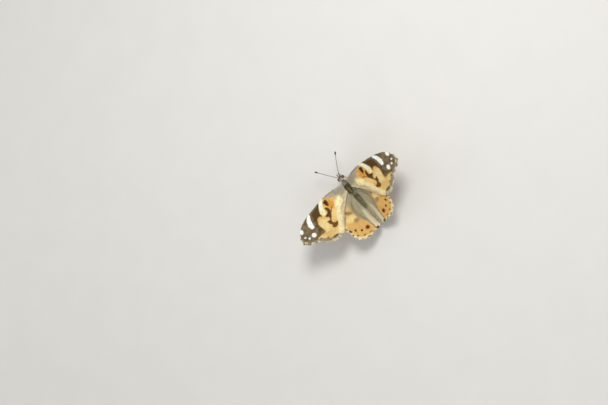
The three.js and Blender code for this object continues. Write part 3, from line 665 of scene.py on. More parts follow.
def turnWing(wing, side, points, back=False):
    # the swing of a wing about its hinge, or its undoing
    angle = math.radians(wing["swing"][side]) * (-1 if back else 1)
    c, s = math.cos(angle), math.sin(angle)
    x, y = np.moveaxis(np.asarray(points, float) - wing["hinge"], -1, 0)
    return np.stack([x * c - y * s, x * s + y * c], -1) + wing["hinge"]


def wingHeight(wing, side, points):
    # height of the wing's middle surface, with shallow pleats between the veins
    x, y = points[:, 0], points[:, 1]
    out = x - wingShape["hingeX"]
    z = (wingShape["slopeOut"] * out + wingShape["slopeBack"] * y
         + wingShape["camber"] * np.sin(np.pi * np.clip(out / wingShape["camberSpan"], 0, 1)))
    if wing["kind"] == "forewing":
        droop = np.maximum(0, x - wingShape["droopFrom"]) / wingShape["droopSpan"]
        z = z - wing["droop"][side] * droop ** 2
    else:
        z = z - wingShape["hindDrop"] - wingShape["hindFold"] * np.exp(-((x / 1.9) ** 2))
    z = z + wing["nudge"]                # fore- and hindwing lie close, within their solids
    off = points - wing["hinge"]
    share = np.clip(np.linalg.norm(off, axis=1) / wing["reach"], 0, 1)
    return z + wingShape["pleat"] * share * np.sin(16 * np.arctan2(off[:, 1], off[:, 0]))


def innerMargin(wing, y):
    # how far out the hindwing's inner margin runs, beside the abdomen and behind it
    wide, _ = bodyReach(np.minimum(y, body["abdomenEnd"] - 0.1))
    beside = np.where(y < body["abdomenEnd"] - 0.2, wing["flank"] * wide, 0)
    return np.maximum(wing["seamHalfGap"], beside)


def wingRim(wing, side):
    # the membrane's rim, and for its fringed stretch the way out and the place between veins
    first, last = (np.array(end) for end in wing["root"])
    corners = [first] + [turnWing(wing, side, stop[:2]) for stop in wing["outline"]]
    named = [k + 1 for k, stop in enumerate(wing["outline"]) if len(stop) > 2]
    begin = next(k for k in named if wing["outline"][k - 1][2] == wing["scallopFrom"])
    if wing["kind"] == "hindwing":
        y = corners[-1][1] + (last[1] - corners[-1][1]) * np.arange(1, 12) / 12
        corners += list(np.c_[innerMargin(wing, y), y])
    path, places = smoothPath([*corners, last], 0.2)
    inset, between = np.zeros(len(path)), np.full(len(path), -1.0)
    setBack = 0.85 * wing["fringe"]                    # room for the fringe
    for low, high in zip(places[begin:named[-1]], places[begin + 1:]):
        between[low:high] = np.arange(high - low) / (high - low)
        inset[low:high] = wing["scallop"] * np.sin(np.pi * between[low:high]) + setBack
    start, end = places[begin], places[named[-1]]
    before, after = start - places[begin - 1], places[named[-1] + 1] - end
    inset[start - before:start] = setBack * smoothStep(0, 1, np.arange(before) / before)
    inset[end:end + after] = setBack * (1 - smoothStep(0, 1, np.arange(after) / after))
    along = unit(np.roll(path, -1, axis=0) - np.roll(path, 1, axis=0))
    outward = np.c_[along[:, 1], -along[:, 0]]
    return path - inset[:, None] * outward, outward, between


def veinLines(wing, side):
    ends = {p[2]: p[:2] for p in wing["outline"] if len(p) > 2}
    lines = []
    for vein in wing["veins"]:
        stops = []
        for stop in vein:
            if isinstance(stop, str):
                stop = wing["forks"][stop[5:]] if stop.startswith("fork ") else ends[stop]
            stops.append(turnWing(wing, side, np.array(stop, float)))
        if len(stops) == 2:
            a, b = stops
            bow = 0.03 * np.array([a[1] - b[1], b[0] - a[0]])
            stops.insert(1, (a + b) / 2 + bow)
        lines.append(smoothPath(stops, 0.6)[0])
    return lines


def veinDistance(lines, points):
    return np.min([lineDistance(points, line) for line in lines], axis=0)


def wingSurface(wing, side, points, face, near):
    # a point on the top (1) or underside (-1), from its place in plan and nearness to a vein
    share = np.clip(np.linalg.norm(points - wing["hinge"], axis=1) / wing["reach"], 0, 1)
    half, rise = (wingShape[name + "Root"] + (wingShape[name + "Margin"] - wingShape[name + "Root"]) * share
                  for name in ("half", "vein"))
    lift = half + rise * np.exp(-((near / wingShape["veinFoot"]) ** 2))
    return np.c_[points, wingHeight(wing, side, points) + face * lift]


def wingNormal(wing, side, points):
    step = 0.2
    slopes = [(wingHeight(wing, side, points + way) - wingHeight(wing, side, points - way)) / (2 * step)
              for way in np.array([(step, 0), (0, step)])]
    return unit(np.c_[-slopes[0], -slopes[1], np.ones(len(points))])


# Wing markings, laid on in turn: places, colour, softness of the edge. Each place of a spot is
# x, y and its two radii, of a stroke x, y and its width there, of a patch x and y of a corner

foreTop = [
    # ground, lighter and browner
    ([(17.6, 11.2, 2.8, 3.4)], "#E2CC8A", 2.6),
    ([(17.8, 16.4, 2.2, 1.4)], "#D2B56E", 1.6),
    ([(21.6, 15.2, 1.6, 1.6)], "#DDBE7A", 1.6),
    ([(11.4, 9, 1.7, 2.8)], "#E6C680", 1.6),
    ([(5, 5.6, 3.2), (8, 8.8, 3.8), (10.6, 13, 3), (13, 17.2, 2.6), (14.8, 19.4, 1.6)], "#EADCA8", 1.6),
    ([(3.5, 6), (6.4, 7.4), (8.8, 11), (12.2, 16.4), (11.8, 17.6), (6, 9.8)], "#CFBE96", 1.6),
    # pale grey-buff streaks along the rear, partly their own colour and partly painted shade
    ([(6.4, 9.4, 0.8), (8.6, 12.4, 0.7), (11, 16, 0.4)], "#BDAC90", 0.9),
    ([(4.4, 6, 0.5), (6.8, 8.2, 0.6), (9.2, 11, 0.3)], "#B9A78C", 0.9),
    # grey-brown root, its grey partly its own colour and partly painted sheen
    ([(-2, -3), (10.2, -2), (9.9, 0.5), (9, 1.2), (7.2, 2.4), (5.4, 3), (4.3, 4.6), (4.2, 6.4), (4.8, 8.6),
      (-2, 9)], "#ADA38F", 1.6),
    # cream patch at the root, greyed partly by painted shade and sheen
    ([(-2, 3.2), (3.2, 3), (4.6, 4.6), (5.6, 7.4), (5, 9.4), (-2, 9.4)], "#D2C49D", 1.4),
    ([(5.6, 3.6, 1.2), (7.2, 5, 2.2), (8.8, 6.4, 1.6)], "#F6ECB8", 1.4),
    # orange of the cell, front edge
    ([(10.6, 4.3, 1.7, 2.1)], "#DC962F", 1.3),
    ([(6, -0.8, 1.3), (11.5, -0.4, 1), (15.5, 0.6, 0.7), (22.3, 2.6, 0.5), (27, 5, 0.5)], "#8E8672", 0.6),
    # dark mark in the cell
    ([(11, 0.9), (12.6, 1.4), (12.7, 2.6), (12.3, 3.7), (11.7, 4.5), (11.1, 4.1), (10.8, 2.6)], "#42230A",
      0.5),
    # pale bar
    ([(12.8, 0, 1.5), (13.8, 1.3, 1.7), (14.9, 3.2, 2), (15.3, 5.1, 2.3)], "#EBEDD4", 0.5),
    ([(15.3, 5.1, 2.2), (15.2, 6.7, 2)], "#E6DCA6", 0.9),
    ([(20.2, 13.2, 1.1, 1.1)], "#947446", 1.2),
    # dark tip
    ([(13.9, -0.6), (14.9, 1.3), (15.9, 3.2), (16.6, 5.1), (16.6, 6.9), (17.2, 6.4), (18, 6.2), (18.9, 6.6),
      (19.4, 7.6), (19.9, 8.9), (20, 10.4), (19.5, 12), (19.6, 13.2), (20.7, 14), (22.2, 14.3),
      (23.6, 14.4), (25.2, 15.6), (27, 18), (34, 15), (34, 8), (27, 2)], "#6B5738", 0.6),
    ([(13.9, -0.6), (14.9, 1.3), (15.9, 3.2), (16.6, 5.1), (16.6, 6.9), (17.2, 6.4), (18, 6.2), (18.9, 6.6),
      (19.4, 7.6), (20.2, 8.6), (20.6, 6.8), (20.2, 4.4), (19.2, 2), (18.4, 0)], "#553A12", 0.7),
    ([(19.5, 7.4), (19.9, 8.9), (20, 10.4), (19.6, 12), (19.7, 13.2), (20.8, 14), (22, 12.6), (21.5, 9.6),
      (20.8, 7.4)], "#5C4220", 0.9),
    ([(16.2, 1.2, 0.9), (19.2, 2.2, 1.1), (20.6, 2.9, 0.8)], "#6F6249", 0.9),
    # greyer margin
    ([(30.2, 8, 1.6), (30.6, 11, 1.8), (30.1, 12.8, 1.6), (27.4, 14.8, 1.4), (24.6, 15.8, 1.4)], "#857A5C",
      1.3),
    ([(25.4, 15.2, 1.6), (22.9, 16.5, 2.2), (20.2, 18.5, 2.3), (17.4, 20, 2), (15, 19.2, 1.2)], "#94896B",
      0.8),
    ([(18.6, 19.6, 1.6), (17, 20.2, 1.8), (14.8, 19.2, 1.1)], "#BDB296", 1),
    ([(21, 17, 0.4), (19.5, 18.4, 0.4)], "#776A4C", 0.5),
    ([(13, 18.2, 0.4), (14.6, 19.3, 0.5), (17.2, 20.4, 0.45), (19.9, 19.4, 0.4), (22.2, 17.7, 0.35),
      (24, 16.5, 0.3)], "#C9C3AC", 0.5),
    # dark band across the middle
    ([(12.9, 4.2), (13.7, 4.4), (13.5, 5.6), (13.4, 6.6), (14.4, 7.3), (15.5, 7.7), (15.2, 8.5),
      (14.4, 8.9), (14.2, 9.9), (13.7, 10), (13.2, 9.2), (12.5, 7.7), (12, 6.4), (12.2, 5.3)], "#573613",
      0.45),
    ([(10.4, 5.3, 0.25), (12.4, 7.6, 0.5), (13.6, 9.4, 0.55), (14.6, 11, 0.7)], "#6E4724", 0.4),
    ([(14.5, 10.7), (15.6, 10.3), (16.3, 10.7), (16, 12), (15.2, 12.9), (15.6, 14), (15.2, 14.8),
      (14.3, 15), (13.2, 14.6), (12.4, 13.7), (12.4, 12.8), (13.7, 12.9), (14.2, 12.3), (14.3, 11.6)],
      "#694314", 0.45),
    # small dark spots
    ([(16.9, 18.5, 1.6, 0.6)], "#6B5233", 0.5),
    ([(20.1, 16.9, 0.5, 0.4), (22.7, 15.4, 0.5, 0.4)], "#6B5233", 0.4),
    # white spots
    ([(21.2, 3, 1.2), (22.2, 4.6, 1.8)], "#EFF3EA", 0.4),
    ([(22.5, 5.2, 2), (22.7, 6.2, 2.2)], "#EFF3EA", 0.4),
    ([(22.9, 7.2, 2.3), (22.8, 8.3, 1.9)], "#EFF3EA", 0.4),
    ([(28.1, 7.2, 0.95, 1.3)], "#EFF3EA", 0.4),
    ([(24.2, 12.05, 1.05, 1.1)], "#EFF3EA", 0.35),
    ([(28.1, 10.6, 0.5, 0.5), (26.8, 12, 0.56, 0.56)], "#E8EADF", 0.3),
    # pale flecks of the margin
    ([(30.4, 8.9, 0.45), (30.7, 9.8, 0.5), (30.2, 10.8, 0.4)], "#CFCAB4", 0.35),
    ([(29.5, 12.3, 0.65), (28.9, 13.2, 0.6)], "#D4CFBA", 0.35),
    ([(27.2, 14.5, 0.65), (26.4, 15, 0.6)], "#D8D4C0", 0.35),
    ([(24.6, 15.6, 0.45), (23.9, 15.9, 0.45)], "#CBC6B0", 0.35),
]
hindTop = [
    # ground
    ([(4, 4), (9.5, 8), (14.8, 14), (15.5, 18), (11, 15), (7, 11), (4.5, 8)], "#DEC68E", 2),
    ([(8.8, 15.4, 2.4, 1.7)], "#EBD088", 2),
    ([(9, 11.2, 1.2), (7.8, 12.4, 1.6), (6.4, 13.2, 1.2)], "#947A46", 1),
    ([(13.4, 16.4, 1.3, 1.7)], "#EBDCA0", 1.3),
    ([(11.1, 13.6, 0.9, 0.7)], "#8A6A3C", 0.7),
    ([(7, 17.5, 1.2, 1)], "#9F8564", 1),
    # grey hair of the root and inner margin
    ([(-1, 3), (4.5, 5), (6.2, 9), (6.4, 13), (6.2, 16), (5, 18.8), (4.1, 21), (3.2, 24.5), (-1, 26)],
      "#ADA487", 1.3),
    ([(4, 8.4, 1), (5.2, 12, 1.6), (5.1, 16, 1.4), (4.3, 19.6, 0.7)], "#978860", 1.3),
    ([(2.2, 15.5, 0.9), (2.3, 18, 1.5), (2.1, 21.5, 1.9), (1.9, 25.6, 1.7)], "#D5CDAA", 0.8),
    # dark lines along the edges of the fold beside the abdomen: painted shade of the fold
    ([(4.2, 15.5, 0.1), (4.3, 17.4, 0.25), (3.6, 20.7, 0.3), (3.1, 24.9, 0.3), (3, 27, 0.25)], "#75633F",
      0.4),
    ([(0.9, 20, 0.1), (0.6, 23, 0.2), (0.4, 26, 0.2)], "#75633F", 0.4),
    # pale margin
    ([(13.8, 17.8, 1.3), (13.1, 20.6, 1.5), (12.8, 23.1, 1.8), (11.9, 25.4, 2.1), (9.6, 27.1, 1.9),
      (6.6, 27.6, 1.6), (3.5, 26.9, 1)], "#E2D6A8", 0.7),
    ([(13.7, 17.1, 0.8), (12.9, 18.6, 0.6)], "#7A5C34", 0.5),
    # row of dark spots
    ([(12.45, 20.15, 0.56, 0.8)], "#472E14", 0.3),
    ([(10.4, 21.1, 0.45, 0.66), (8.35, 23, 0.5, 0.52)], "#40270F", 0.3),
    ([(5.6, 23.4, 1.15, 1.15)], "#B08044", 0.7),
    ([(5.6, 23.4, 0.72, 0.76)], "#452B12", 0.4),
    # dashes and margin spots
    ([(12.6, 22.4, 0.5, 0.4)], "#8A6236", 0.35),
    ([(11.15, 23.9, 0.5, 0.38), (8.6, 25.5, 0.6, 0.34)], "#7A5A2A", 0.35),
    ([(5.65, 26.1, 0.75, 0.34)], "#8A662F", 0.35),
    ([(13.3, 21.9, 0.6, 0.75), (12.5, 24.8, 0.6, 0.7), (10.8, 26.7, 0.8, 0.55), (7.7, 27.5, 0.85, 0.5),
      (4.7, 27.2, 0.75, 0.5)], "#5F4A30", 0.4),
    ([(2.3, 26.4, 0.95, 0.6)], "#5A432A", 0.5),
    ([(1.3, 26.2, 0.4, 0.5)], "#E2D6B8", 0.4),
]
foreUnder = [
    # ground
    ([(17.4, 11.8, 3.2, 3.6)], "#EBC79A", 3),
    ([(-2, -3), (7.5, -2), (8, 1), (5, 9), (-2, 9)], "#C9A88C", 2.5),
    ([(10.7, 3.2, 2.6, 2)], "#D2603C", 1.6),
    ([(1, -0.5, 1.8), (6, -0.8, 1.4), (11.5, -0.4, 1), (15.5, 0.6, 0.9), (22.3, 2.6, 0.8), (27, 5, 0.7)],
      "#C9BD9E", 0.5),
    # dark and pale marks
    ([(11.7, 2.2, 0.7, 1.1)], "#2E1E18", 0.35),
    ([(12.9, 0.3, 1.5), (14.4, 2.4, 1.8), (15.1, 4.3, 1.8)], "#F2EDE0", 0.4),
    ([(16, 0.6), (20.6, 2), (21.4, 4), (21.5, 6.5), (21, 9.2), (20, 9.2), (19.5, 7.2), (19.1, 5.7),
      (18.3, 5), (17.8, 5.9), (17.1, 6.6), (16.5, 5.8), (16.5, 4), (16.2, 2.2)], "#2C211C", 0.35),
    ([(11.6, 4.2), (12.7, 4.4), (13.3, 5.9), (15.2, 6.9), (15.3, 7.8), (14.3, 8.3), (12.9, 8.1),
      (11.7, 7.2), (11.2, 5.6)], "#2C211C", 0.35),
    ([(14.2, 9.9), (15.9, 10.2), (16.2, 11.2), (15.3, 11.8), (15.7, 13.2), (15.2, 14.3), (13.9, 14.4),
      (12.4, 13.5), (12.3, 12.7), (13.5, 12.4), (13.9, 11.2)], "#2C211C", 0.35),
    # fawn tip, with pale bars
    ([(21, 3), (23, 8.8), (22.4, 13.5), (24, 14.6), (22.6, 17.6), (17, 21), (24, 21), (33, 16), (33, 8),
      (27, 3)], "#B7A27E", 0.8),
    ([(22.2, 10.8, 1.3, 1.8)], "#4A3A2C", 0.8),
    ([(21.6, 3.1, 1.8), (22.4, 5.2, 2), (23, 7.9, 1.6)], "#F6F4EC", 0.35),
    ([(28, 7.3, 0.9, 1.3)], "#EDE7D6", 0.5),
    ([(24.3, 11.8, 1.1, 1.3)], "#F6F4EC", 0.35),
    # eyespots of the tip
    ([(26.6, 10.4, 0.75, 0.75)], "#7B6A50", 0.3),
    ([(26.6, 10.4, 0.42, 0.42)], "#DCE0DA", 0.25),
    ([(26.2, 12.6, 0.75, 0.75)], "#7B6A50", 0.3),
    ([(26.2, 12.6, 0.42, 0.42)], "#DCE0DA", 0.25),
    # margin
    ([(30, 8.6, 0.3), (29.8, 12.4, 0.3), (27.8, 14.2, 0.3), (25, 15.3, 0.3), (22.4, 17, 0.3),
      (19.8, 19, 0.3)], "#7A6446", 0.3),
    ([(17.5, 18.2, 1.7, 0.7)], "#4A382A", 0.5),
]
hindUnder = [
    # pale bands
    ([(6.2, 7.2, 1.6), (5, 10.4, 1.5), (3.6, 13, 1.2)], "#E9E1CC", 0.7),
    ([(12.5, 14.2, 1.9), (10.2, 16.6, 1.7), (8.4, 18.9, 1.4), (6, 20.4, 1.3), (3.6, 20.6, 1)], "#EFE8D4",
      0.7),
    # fawn band and margin
    ([(13.4, 17, 1.3), (11.9, 19.6, 1.4), (9.8, 21.7, 1.6), (7.2, 23.2, 1.6), (4.4, 23.6, 1.4)], "#B89E72",
      0.7),
    ([(13.3, 20.6, 0.7), (12.7, 23.2, 0.7), (11.3, 25.2, 0.75), (9, 26.6, 0.75), (6.3, 27, 0.75),
      (3.6, 26.4, 0.6)], "#F2EBDA", 0.4),
    ([(13, 20.2, 0.4), (12.3, 22.9, 0.4), (11, 24.7, 0.45), (8.8, 26, 0.45), (6.2, 26.4, 0.45),
      (3.7, 25.9, 0.4)], "#8C97A6", 0.3),
]


def paintMarks(colours, points, marks, wobble=0.12):
    # edges are broken up as rows of scales are
    u, v = points[:, 0], points[:, 1]
    moved = points + wobble * np.c_[patchNoise(u, v, 0.7, 1) - 0.5, patchNoise(u, v, 0.7, 2) - 0.5] * 2
    for places, code, edge in marks:
        rows = np.array(places, float)
        if rows.shape[1] == 4:
            gaps = [(np.linalg.norm((moved - row[:2]) / row[2:], axis=1) - 1) * row[2:].min() for row in rows]
        elif rows.shape[1] == 3:
            gaps = [lineDistance(moved, rows[:, :2], rows[:, 2])]
        else:
            gaps = [outlineDistance(moved, rows)]
        for gap in gaps:
            colours = blendTo(colours, 1 - smoothStep(-edge / 2, edge / 2, gap), code)
    return colours


def mottled(u, v, size, seed, low, high):
    return smoothStep(low, high, patchNoise(u, v, size, seed))


def veinShade(near):
    return (0.94 + 0.1 * smoothStep(0.0, 0.3, near))[:, None]


foreBorder = np.array([                # mottled outer border of the forewing: x, y, width
    (30.6, 8.6, 1.6), (31.1, 11.6, 2.4), (29.6, 14.4, 2.2), (26.4, 15.7, 1.9), (23.4, 17.3, 2.0),
    (20.4, 19.6, 2.2), (17.2, 20.8, 2.0), (14.4, 19.6, 1.2)])


def foreTopColours(points, near):
    u, v = points[:, 0], points[:, 1]
    colours = layered(plain("#D5AA5C", len(u)), (mottled(u, v, 1.6, 5, 0.35, 0.75) * 0.5, "#DAA04E"),
                      (mottled(u, v, 2.3, 6, 0.4, 0.8) * 0.6, "#E0C684"))
    colours = paintMarks(colours, points, foreTop)
    apex = smoothStep(20.5, 23.0, u + 0.15 * v) * (1 - mottled(u, v, 1.3, 4, 0.35, 0.65))
    isDark = colours.sum(axis=1) < 0.6
    flecks = mottled(u, v, 0.8, 15, 0.62, 0.8) * (1 - smoothStep(9, 12, u))
    border = 1 - smoothStep(-0.4, 0.4, lineDistance(points, foreBorder[:, :2], foreBorder[:, 2]))
    colours = layered(colours, (apex * isDark * 0.45, "#8D7D60"), (flecks * 0.35, "#A08C68"),
                      (border * mottled(u, v, 0.62, 16, 0.5, 0.66) * 0.65, "#6A573C"),
                      (border * mottled(u, v, 0.7, 17, 0.56, 0.72) * 0.45, "#D3C4AE"))
    return colours * veinShade(near)


def hindTopColours(points, near):
    u, v = points[:, 0], points[:, 1]
    colours = blendTo(plain("#D6A85E", len(u)), mottled(u, v, 1.5, 7, 0.35, 0.75) * 0.5, "#DAB068")
    return paintMarks(colours, points, hindTop) * veinShade(near)


def foreUnderColours(points, near):
    u, v = points[:, 0], points[:, 1]
    colours = blendTo(plain("#DB8F62", len(u)), mottled(u, v, 1.8, 8, 0.35, 0.75) * 0.5, "#E3A682")
    apex = smoothStep(21, 24, u + 0.2 * v)
    return layered(paintMarks(colours, points, foreUnder),
                   (mottled(u, v, 1.1, 9, 0.45, 0.6) * apex * 0.4, "#8C7450"),
                   (apex * (1 - smoothStep(0.1, 0.3, near)) * 0.5, "#E8DFC8"))


eyeSpots = [
    # underside of the hindwing: x, y, radius
    (12.2, 19.2, 0.85), (11.2, 21.3, 0.55), (9.2, 23.0, 0.6), (6.1, 23.9, 0.95), (3.6, 24.3, 0.5),
]
eyeRings = [
    # solid up to, gone from, as shares of the radius
    (1.15, 1.3, "#5A4832"), (0.95, 1.08, "#D9C079"), (0.55, 0.68, "#2B2A2E"), (0.25, 0.38, "#7FA0B4"),
]


def hindUnderColours(points, near):
    # marbled olive brown and fawn, veined with white, eyespots near the margin
    u, v = points[:, 0], points[:, 1]
    out = np.hypot(u - 1.5, v - 5)
    bands = np.sin(out * 1.45 + 4.0 * patchNoise(u, v, 3.1, 12))
    colours = layered(
        plain("#B49A72", len(u)), (smoothStep(-0.1, 0.3, bands) * 0.8, "#7E6A48"),
        (mottled(u, v, 1.3, 13, 0.5, 0.75) * 0.6, "#A58C62"),
        (mottled(u, v, 1.9, 14, 0.6, 0.72) * (1 - smoothStep(12, 16, out)) * 0.8, "#E6DCC2"),
        (np.exp(-(((bands - 0.1) / 0.1) ** 2)) * 0.55, "#5C4A32"))
    colours = paintMarks(colours, points, hindUnder)
    colours = blendTo(colours, (1 - smoothStep(0.08, 0.26, near)) * 0.85, "#F1EBDC")
    for x, y, radius in eyeSpots:
        gap = np.hypot(u - x, v - y) / radius
        colours = layered(colours, *((1 - smoothStep(low, high, gap), code) for low, high, code in eyeRings))
    return blendTo(colours, (1 - smoothStep(1.5, 4.0, u)) * smoothStep(26, 20, v) * 0.7, "#C4B79A")


wingColours = {
    ("forewing", 1): foreTopColours, ("forewing", -1): foreUnderColours,
    ("hindwing", 1): hindTopColours, ("hindwing", -1): hindUnderColours,
}


def wingGrid(rim, step, margin):
    # staggered points inside the rim, clear of it by a margin
    low, high = rim.min(axis=0), rim.max(axis=0)
    rows = np.arange(low[1], high[1], step * 0.866)
    columns = np.arange(low[0], high[0], step)
    x, y = np.meshgrid(columns, rows)
    x = x + (np.arange(len(rows)) % 2)[:, None] * step / 2
    points = np.c_[x.ravel(), y.ravel()]
    points = points[insideOf(points, rim)]
    return points[lineDistance(points, np.vstack([rim, rim[:1]])) > margin]


def makeMembrane(wing, side, rim, lines):
    loop = [(k, (k + 1) % len(rim)) for k in range(len(rim))]
    flat = np.vstack([rim, wingGrid(rim, wingShape["grid"], 0.1)])
    found, _, cells, origins, _, _ = delaunay_2d_cdt([Vector(p) for p in flat], loop, [], 1, 1e-7)
    flat = np.array([tuple(p) for p in found])
    place = {source: k for k, sources in enumerate(origins) for source in sources}
    edge = np.array([place[k] for k in range(len(rim))])
    cells = np.array([cell for cell in cells if len(cell) == 3])
    corner = flat[cells]
    turns = np.cross(corner[:, 1] - corner[:, 0], corner[:, 2] - corner[:, 0]) > 0
    cells = np.where(turns[:, None], cells, cells[:, [0, 2, 1]])
    near = veinDistance(lines, flat)
    home = turnWing(wing, side, flat, back=True)
    points = np.vstack([wingSurface(wing, side, flat, face, near) for face in (1, -1)])
    top, under = (wingShape["membraneShade"] * wingColours[wing["kind"], face](home, near)
                  for face in (1, -1))
    under[edge] = top[edge]                            # the rim is coloured as the top is
    count, after = len(flat), np.roll(edge, -1)
    walls = np.vstack([np.c_[edge + count, after + count, after], np.c_[edge + count, after, edge]])
    faces = np.vstack([cells, cells[:, [0, 2, 1]] + count, walls])
    addPiece(f"{wing['kind']}_{side}_membrane", wingMembrane, "wing_scales", points, faces,
             np.vstack([top, under]), side=side, replaced=(f"{wing['kind']}_{side}",))


def planPatch(points):
    # place in the map: the wing laid flat
    return 0.02 + 0.96 * (points - np.array(wingShape["mapCorner"])) / wingShape["mapSpan"]


def makeScaleCoat(wing, side, rim, lines, face):
    step = wingShape["scaleStep"]
    flat = wingGrid(rim, step, 0.05 if face > 0 else 0.42)    # the underside's stay out of sight
    flat = flat + draw.uniform(-0.3, 0.3, flat.shape) * step
    near = veinDistance(lines, flat)
    home = turnWing(wing, side, flat, back=True)
    colours = varied(wingColours[wing["kind"], face](home, near), 0.89, 1.11)
    # rows run across the wing; each scale points outward from near the root
    x, y = unit(flat - (np.array(wing["hinge"]) - (1.5, 0))).T
    aim = draw.normal(0, 0.13, len(flat))
    out = np.c_[x - y * aim, y + x * aim]
    root = wingSurface(wing, side, flat, face, near)
    ahead = wingSurface(wing, side, flat + 0.3 * out, face, veinDistance(lines, flat + 0.3 * out))
    size = draw.uniform(0.85, 1.15, len(flat))
    points, faces, shades, patches = scales(
        root, unit(ahead - root), wingNormal(wing, side, flat) * face, wingShape["scaleLength"] * size,
        wingShape["scaleWidth"] * size, colours, planPatch(flat))
    if face < 0:
        faces = faces[:, [0, 2, 1]]
    word = "top" if face > 0 else "under"
    addPiece(f"{wing['kind']}_{side}_scales_{word}", wingScaleChitin, "wing_scales", points, faces,
             shades, patches, side)


# Hair of the wings: width, shades of root and tip against the wing's own, and how far the tips sag

wingFringe = {"width": 0.035, "shades": (0.85, 1.1), "sag": 0, "layers": 4,
              "ends": "#95876C", "middle": "#E6E0CC"}
wingHairs = {
    # on the upper face of the wing roots: area and lie of the hair
    "forewing": {"area": [(1.4, -0.6), (6.2, -0.7), (6.6, 0.8), (5.4, 3.0), (5.0, 6.4), (5.2, 8.2),
                          (1.4, 3.4)],
                 "lie": (0.86, 0.5), "length": 1.4},
    "hindwing": {"area": [(1.2, 4.8), (4.2, 6.6), (5.6, 10.5), (5.4, 14.5), (4.2, 18.5), (3.1, 22.0),
                          (2.4, 24.4), (0.1, 24.4), (0.1, 18.0), (1.4, 15.0)],
                 "lie": (0.12, 1.0), "length": 1.7},
    "perArea": 46, "width": 0.024, "shades": (0.8, 1.15), "sag": -0.04,    # hairs to a square mm
}
innerFringe = {"from": 8.0, "to": 21.5, "hairs": 4200, "length": 0.95, "depth": 0.9,
               "width": 0.024, "shades": (0.85, 1.1), "sag": -0.12}
rearTuft = {"line": ((2.3, 3.1), (6.6, 9.5)), "hairs": 3000, "length": 1.8, "depth": 0.9,
            "width": 0.026, "shades": (0.85, 1.1), "sag": 0}
trailingFringe = {"line": [(3.4, 4.8), (7.4, 10.7), (12.3, 18.0), (14.3, 19.9)], "hairs": 3000,
                  "length": 0.8, "width": 0.026, "shades": (0.9, 1.1), "sag": -0.06}


def wingSpikes(plan, flat, roots, ways, lengths, colours):
    return spikes(roots, ways, lengths, plan["width"], colours, plan["shades"], planPatch(flat),
                  (0, 0, plan["sag"]))


def addWingCoat(wing, side, word, coat):
    addPiece(f"{wing['kind']}_{side}_{word}", bodyHair, "wing_scales", *coat, side)


def makeFringe(wing, side, rim, outward, between):
    # hair-scales along the outer margin: pale between the veins, darker at their ends
    coats = []
    pick = np.repeat(np.flatnonzero(between >= 0), 2)
    along = np.c_[-outward[pick, 1], outward[pick, 0]]
    far = np.full(len(pick), wingShape["farFromVeins"])
    white = plateau(0.2, 0.34, 0.66, 0.8, between[pick])
    for layer in range(wingFringe["layers"]):
        flat = rim[pick] + draw.uniform(-0.1, 0.1, len(pick))[:, None] * along
        flat = flat - outward[pick] * draw.uniform(0.05, 0.2, len(pick))[:, None]
        here = wingSurface(wing, side, flat, 0.6 if layer % 2 == 0 else -0.6, far)
        way = unit(outward[pick] + draw.normal(0, 0.12, len(pick))[:, None] * along)
        ways = unit(wingSurface(wing, side, flat + way, 0, far) - wingSurface(wing, side, flat, 0, far))
        colours = blendTo(plain(wingFringe["ends"], len(pick)), white, wingFringe["middle"])
        colours = varied(colours, 0.85, 1.12)
        lengths = wing["fringe"] * draw.uniform(0.75, 1.25, len(pick)) * (0.85 + 0.35 * white)
        coats.append(wingSpikes(wingFringe, flat, here, ways, lengths, colours))
    addWingCoat(wing, side, "fringe", joined(coats))


def makeWingHair(wing, side, lines):
    plan = wingHairs[wing["kind"]]
    area = np.array(plan["area"], float)
    low, high = area.min(axis=0), area.max(axis=0)
    count = int((high - low).prod() * wingHairs["perArea"])
    home = draw.uniform(low, high, (count, 2))
    gap = outlineDistance(home, area)
    home = home[(gap < 0.5) & (draw.uniform(0, 1, count) < smoothStep(0.5, -1.2, gap))]
    if wing["kind"] == "hindwing":      # none where the abdomen lies
        x, y = home.T
        wide, _ = bodyReach(np.minimum(y, body["abdomenEnd"] - 0.1))
        home = home[x > np.where(y < body["abdomenEnd"] - 0.2, wide * 0.98, 0.1)]
    flat = turnWing(wing, side, home)
    near = veinDistance(lines, flat)
    root = wingSurface(wing, side, flat, 1, near)
    lie = unit(np.array(plan["lie"]) + draw.normal(0, 0.16, (len(flat), 2)))
    ahead = wingSurface(wing, side, flat + 0.5 * lie, 1, near)
    ways = unit(unit(ahead - root) + draw.uniform(0.03, 0.16, len(flat))[:, None] * (0, 0, 1))
    colours = blendTo(wingColours[wing["kind"], 1](home, near), np.full(len(flat), 0.25), "#BDB498")
    colours = varied(colours, 0.76, 1.24)
    lengths = plan["length"] * draw.uniform(0.6, 1.2, len(flat))
    addWingCoat(wing, side, "hair", wingSpikes(wingHairs, flat, root, ways, lengths, colours))


def makeInnerFringe(wing, side):
    # long hair of the hindwing's inner margin, lying over the flank of the abdomen and behind it
    count = innerFringe["hairs"]
    y = draw.uniform(innerFringe["from"], innerFringe["to"], count)
    inset = draw.uniform(0.02, 1, count) ** 1.5 * innerFringe["depth"]
    flat = np.c_[innerMargin(wing, y) + inset, y]
    far = np.full(count, wingShape["farFromVeins"])
    behind = smoothStep(16.6, 18.0, y)
    ways = unit(np.c_[-0.5 + 0.15 * behind, np.full(count, 0.85), -0.55 + 0.45 * behind]
                + draw.normal(0, 0.1, (count, 3)))
    colours = varied(hindTopColours(turnWing(wing, side, flat, back=True), far), 0.8, 1.2)
    lengths = innerFringe["length"] * draw.uniform(0.7, 1.2, count)
    root = wingSurface(wing, side, flat, 1, far)
    addWingCoat(wing, side, "inner_fringe", wingSpikes(innerFringe, flat, root, ways, lengths, colours))


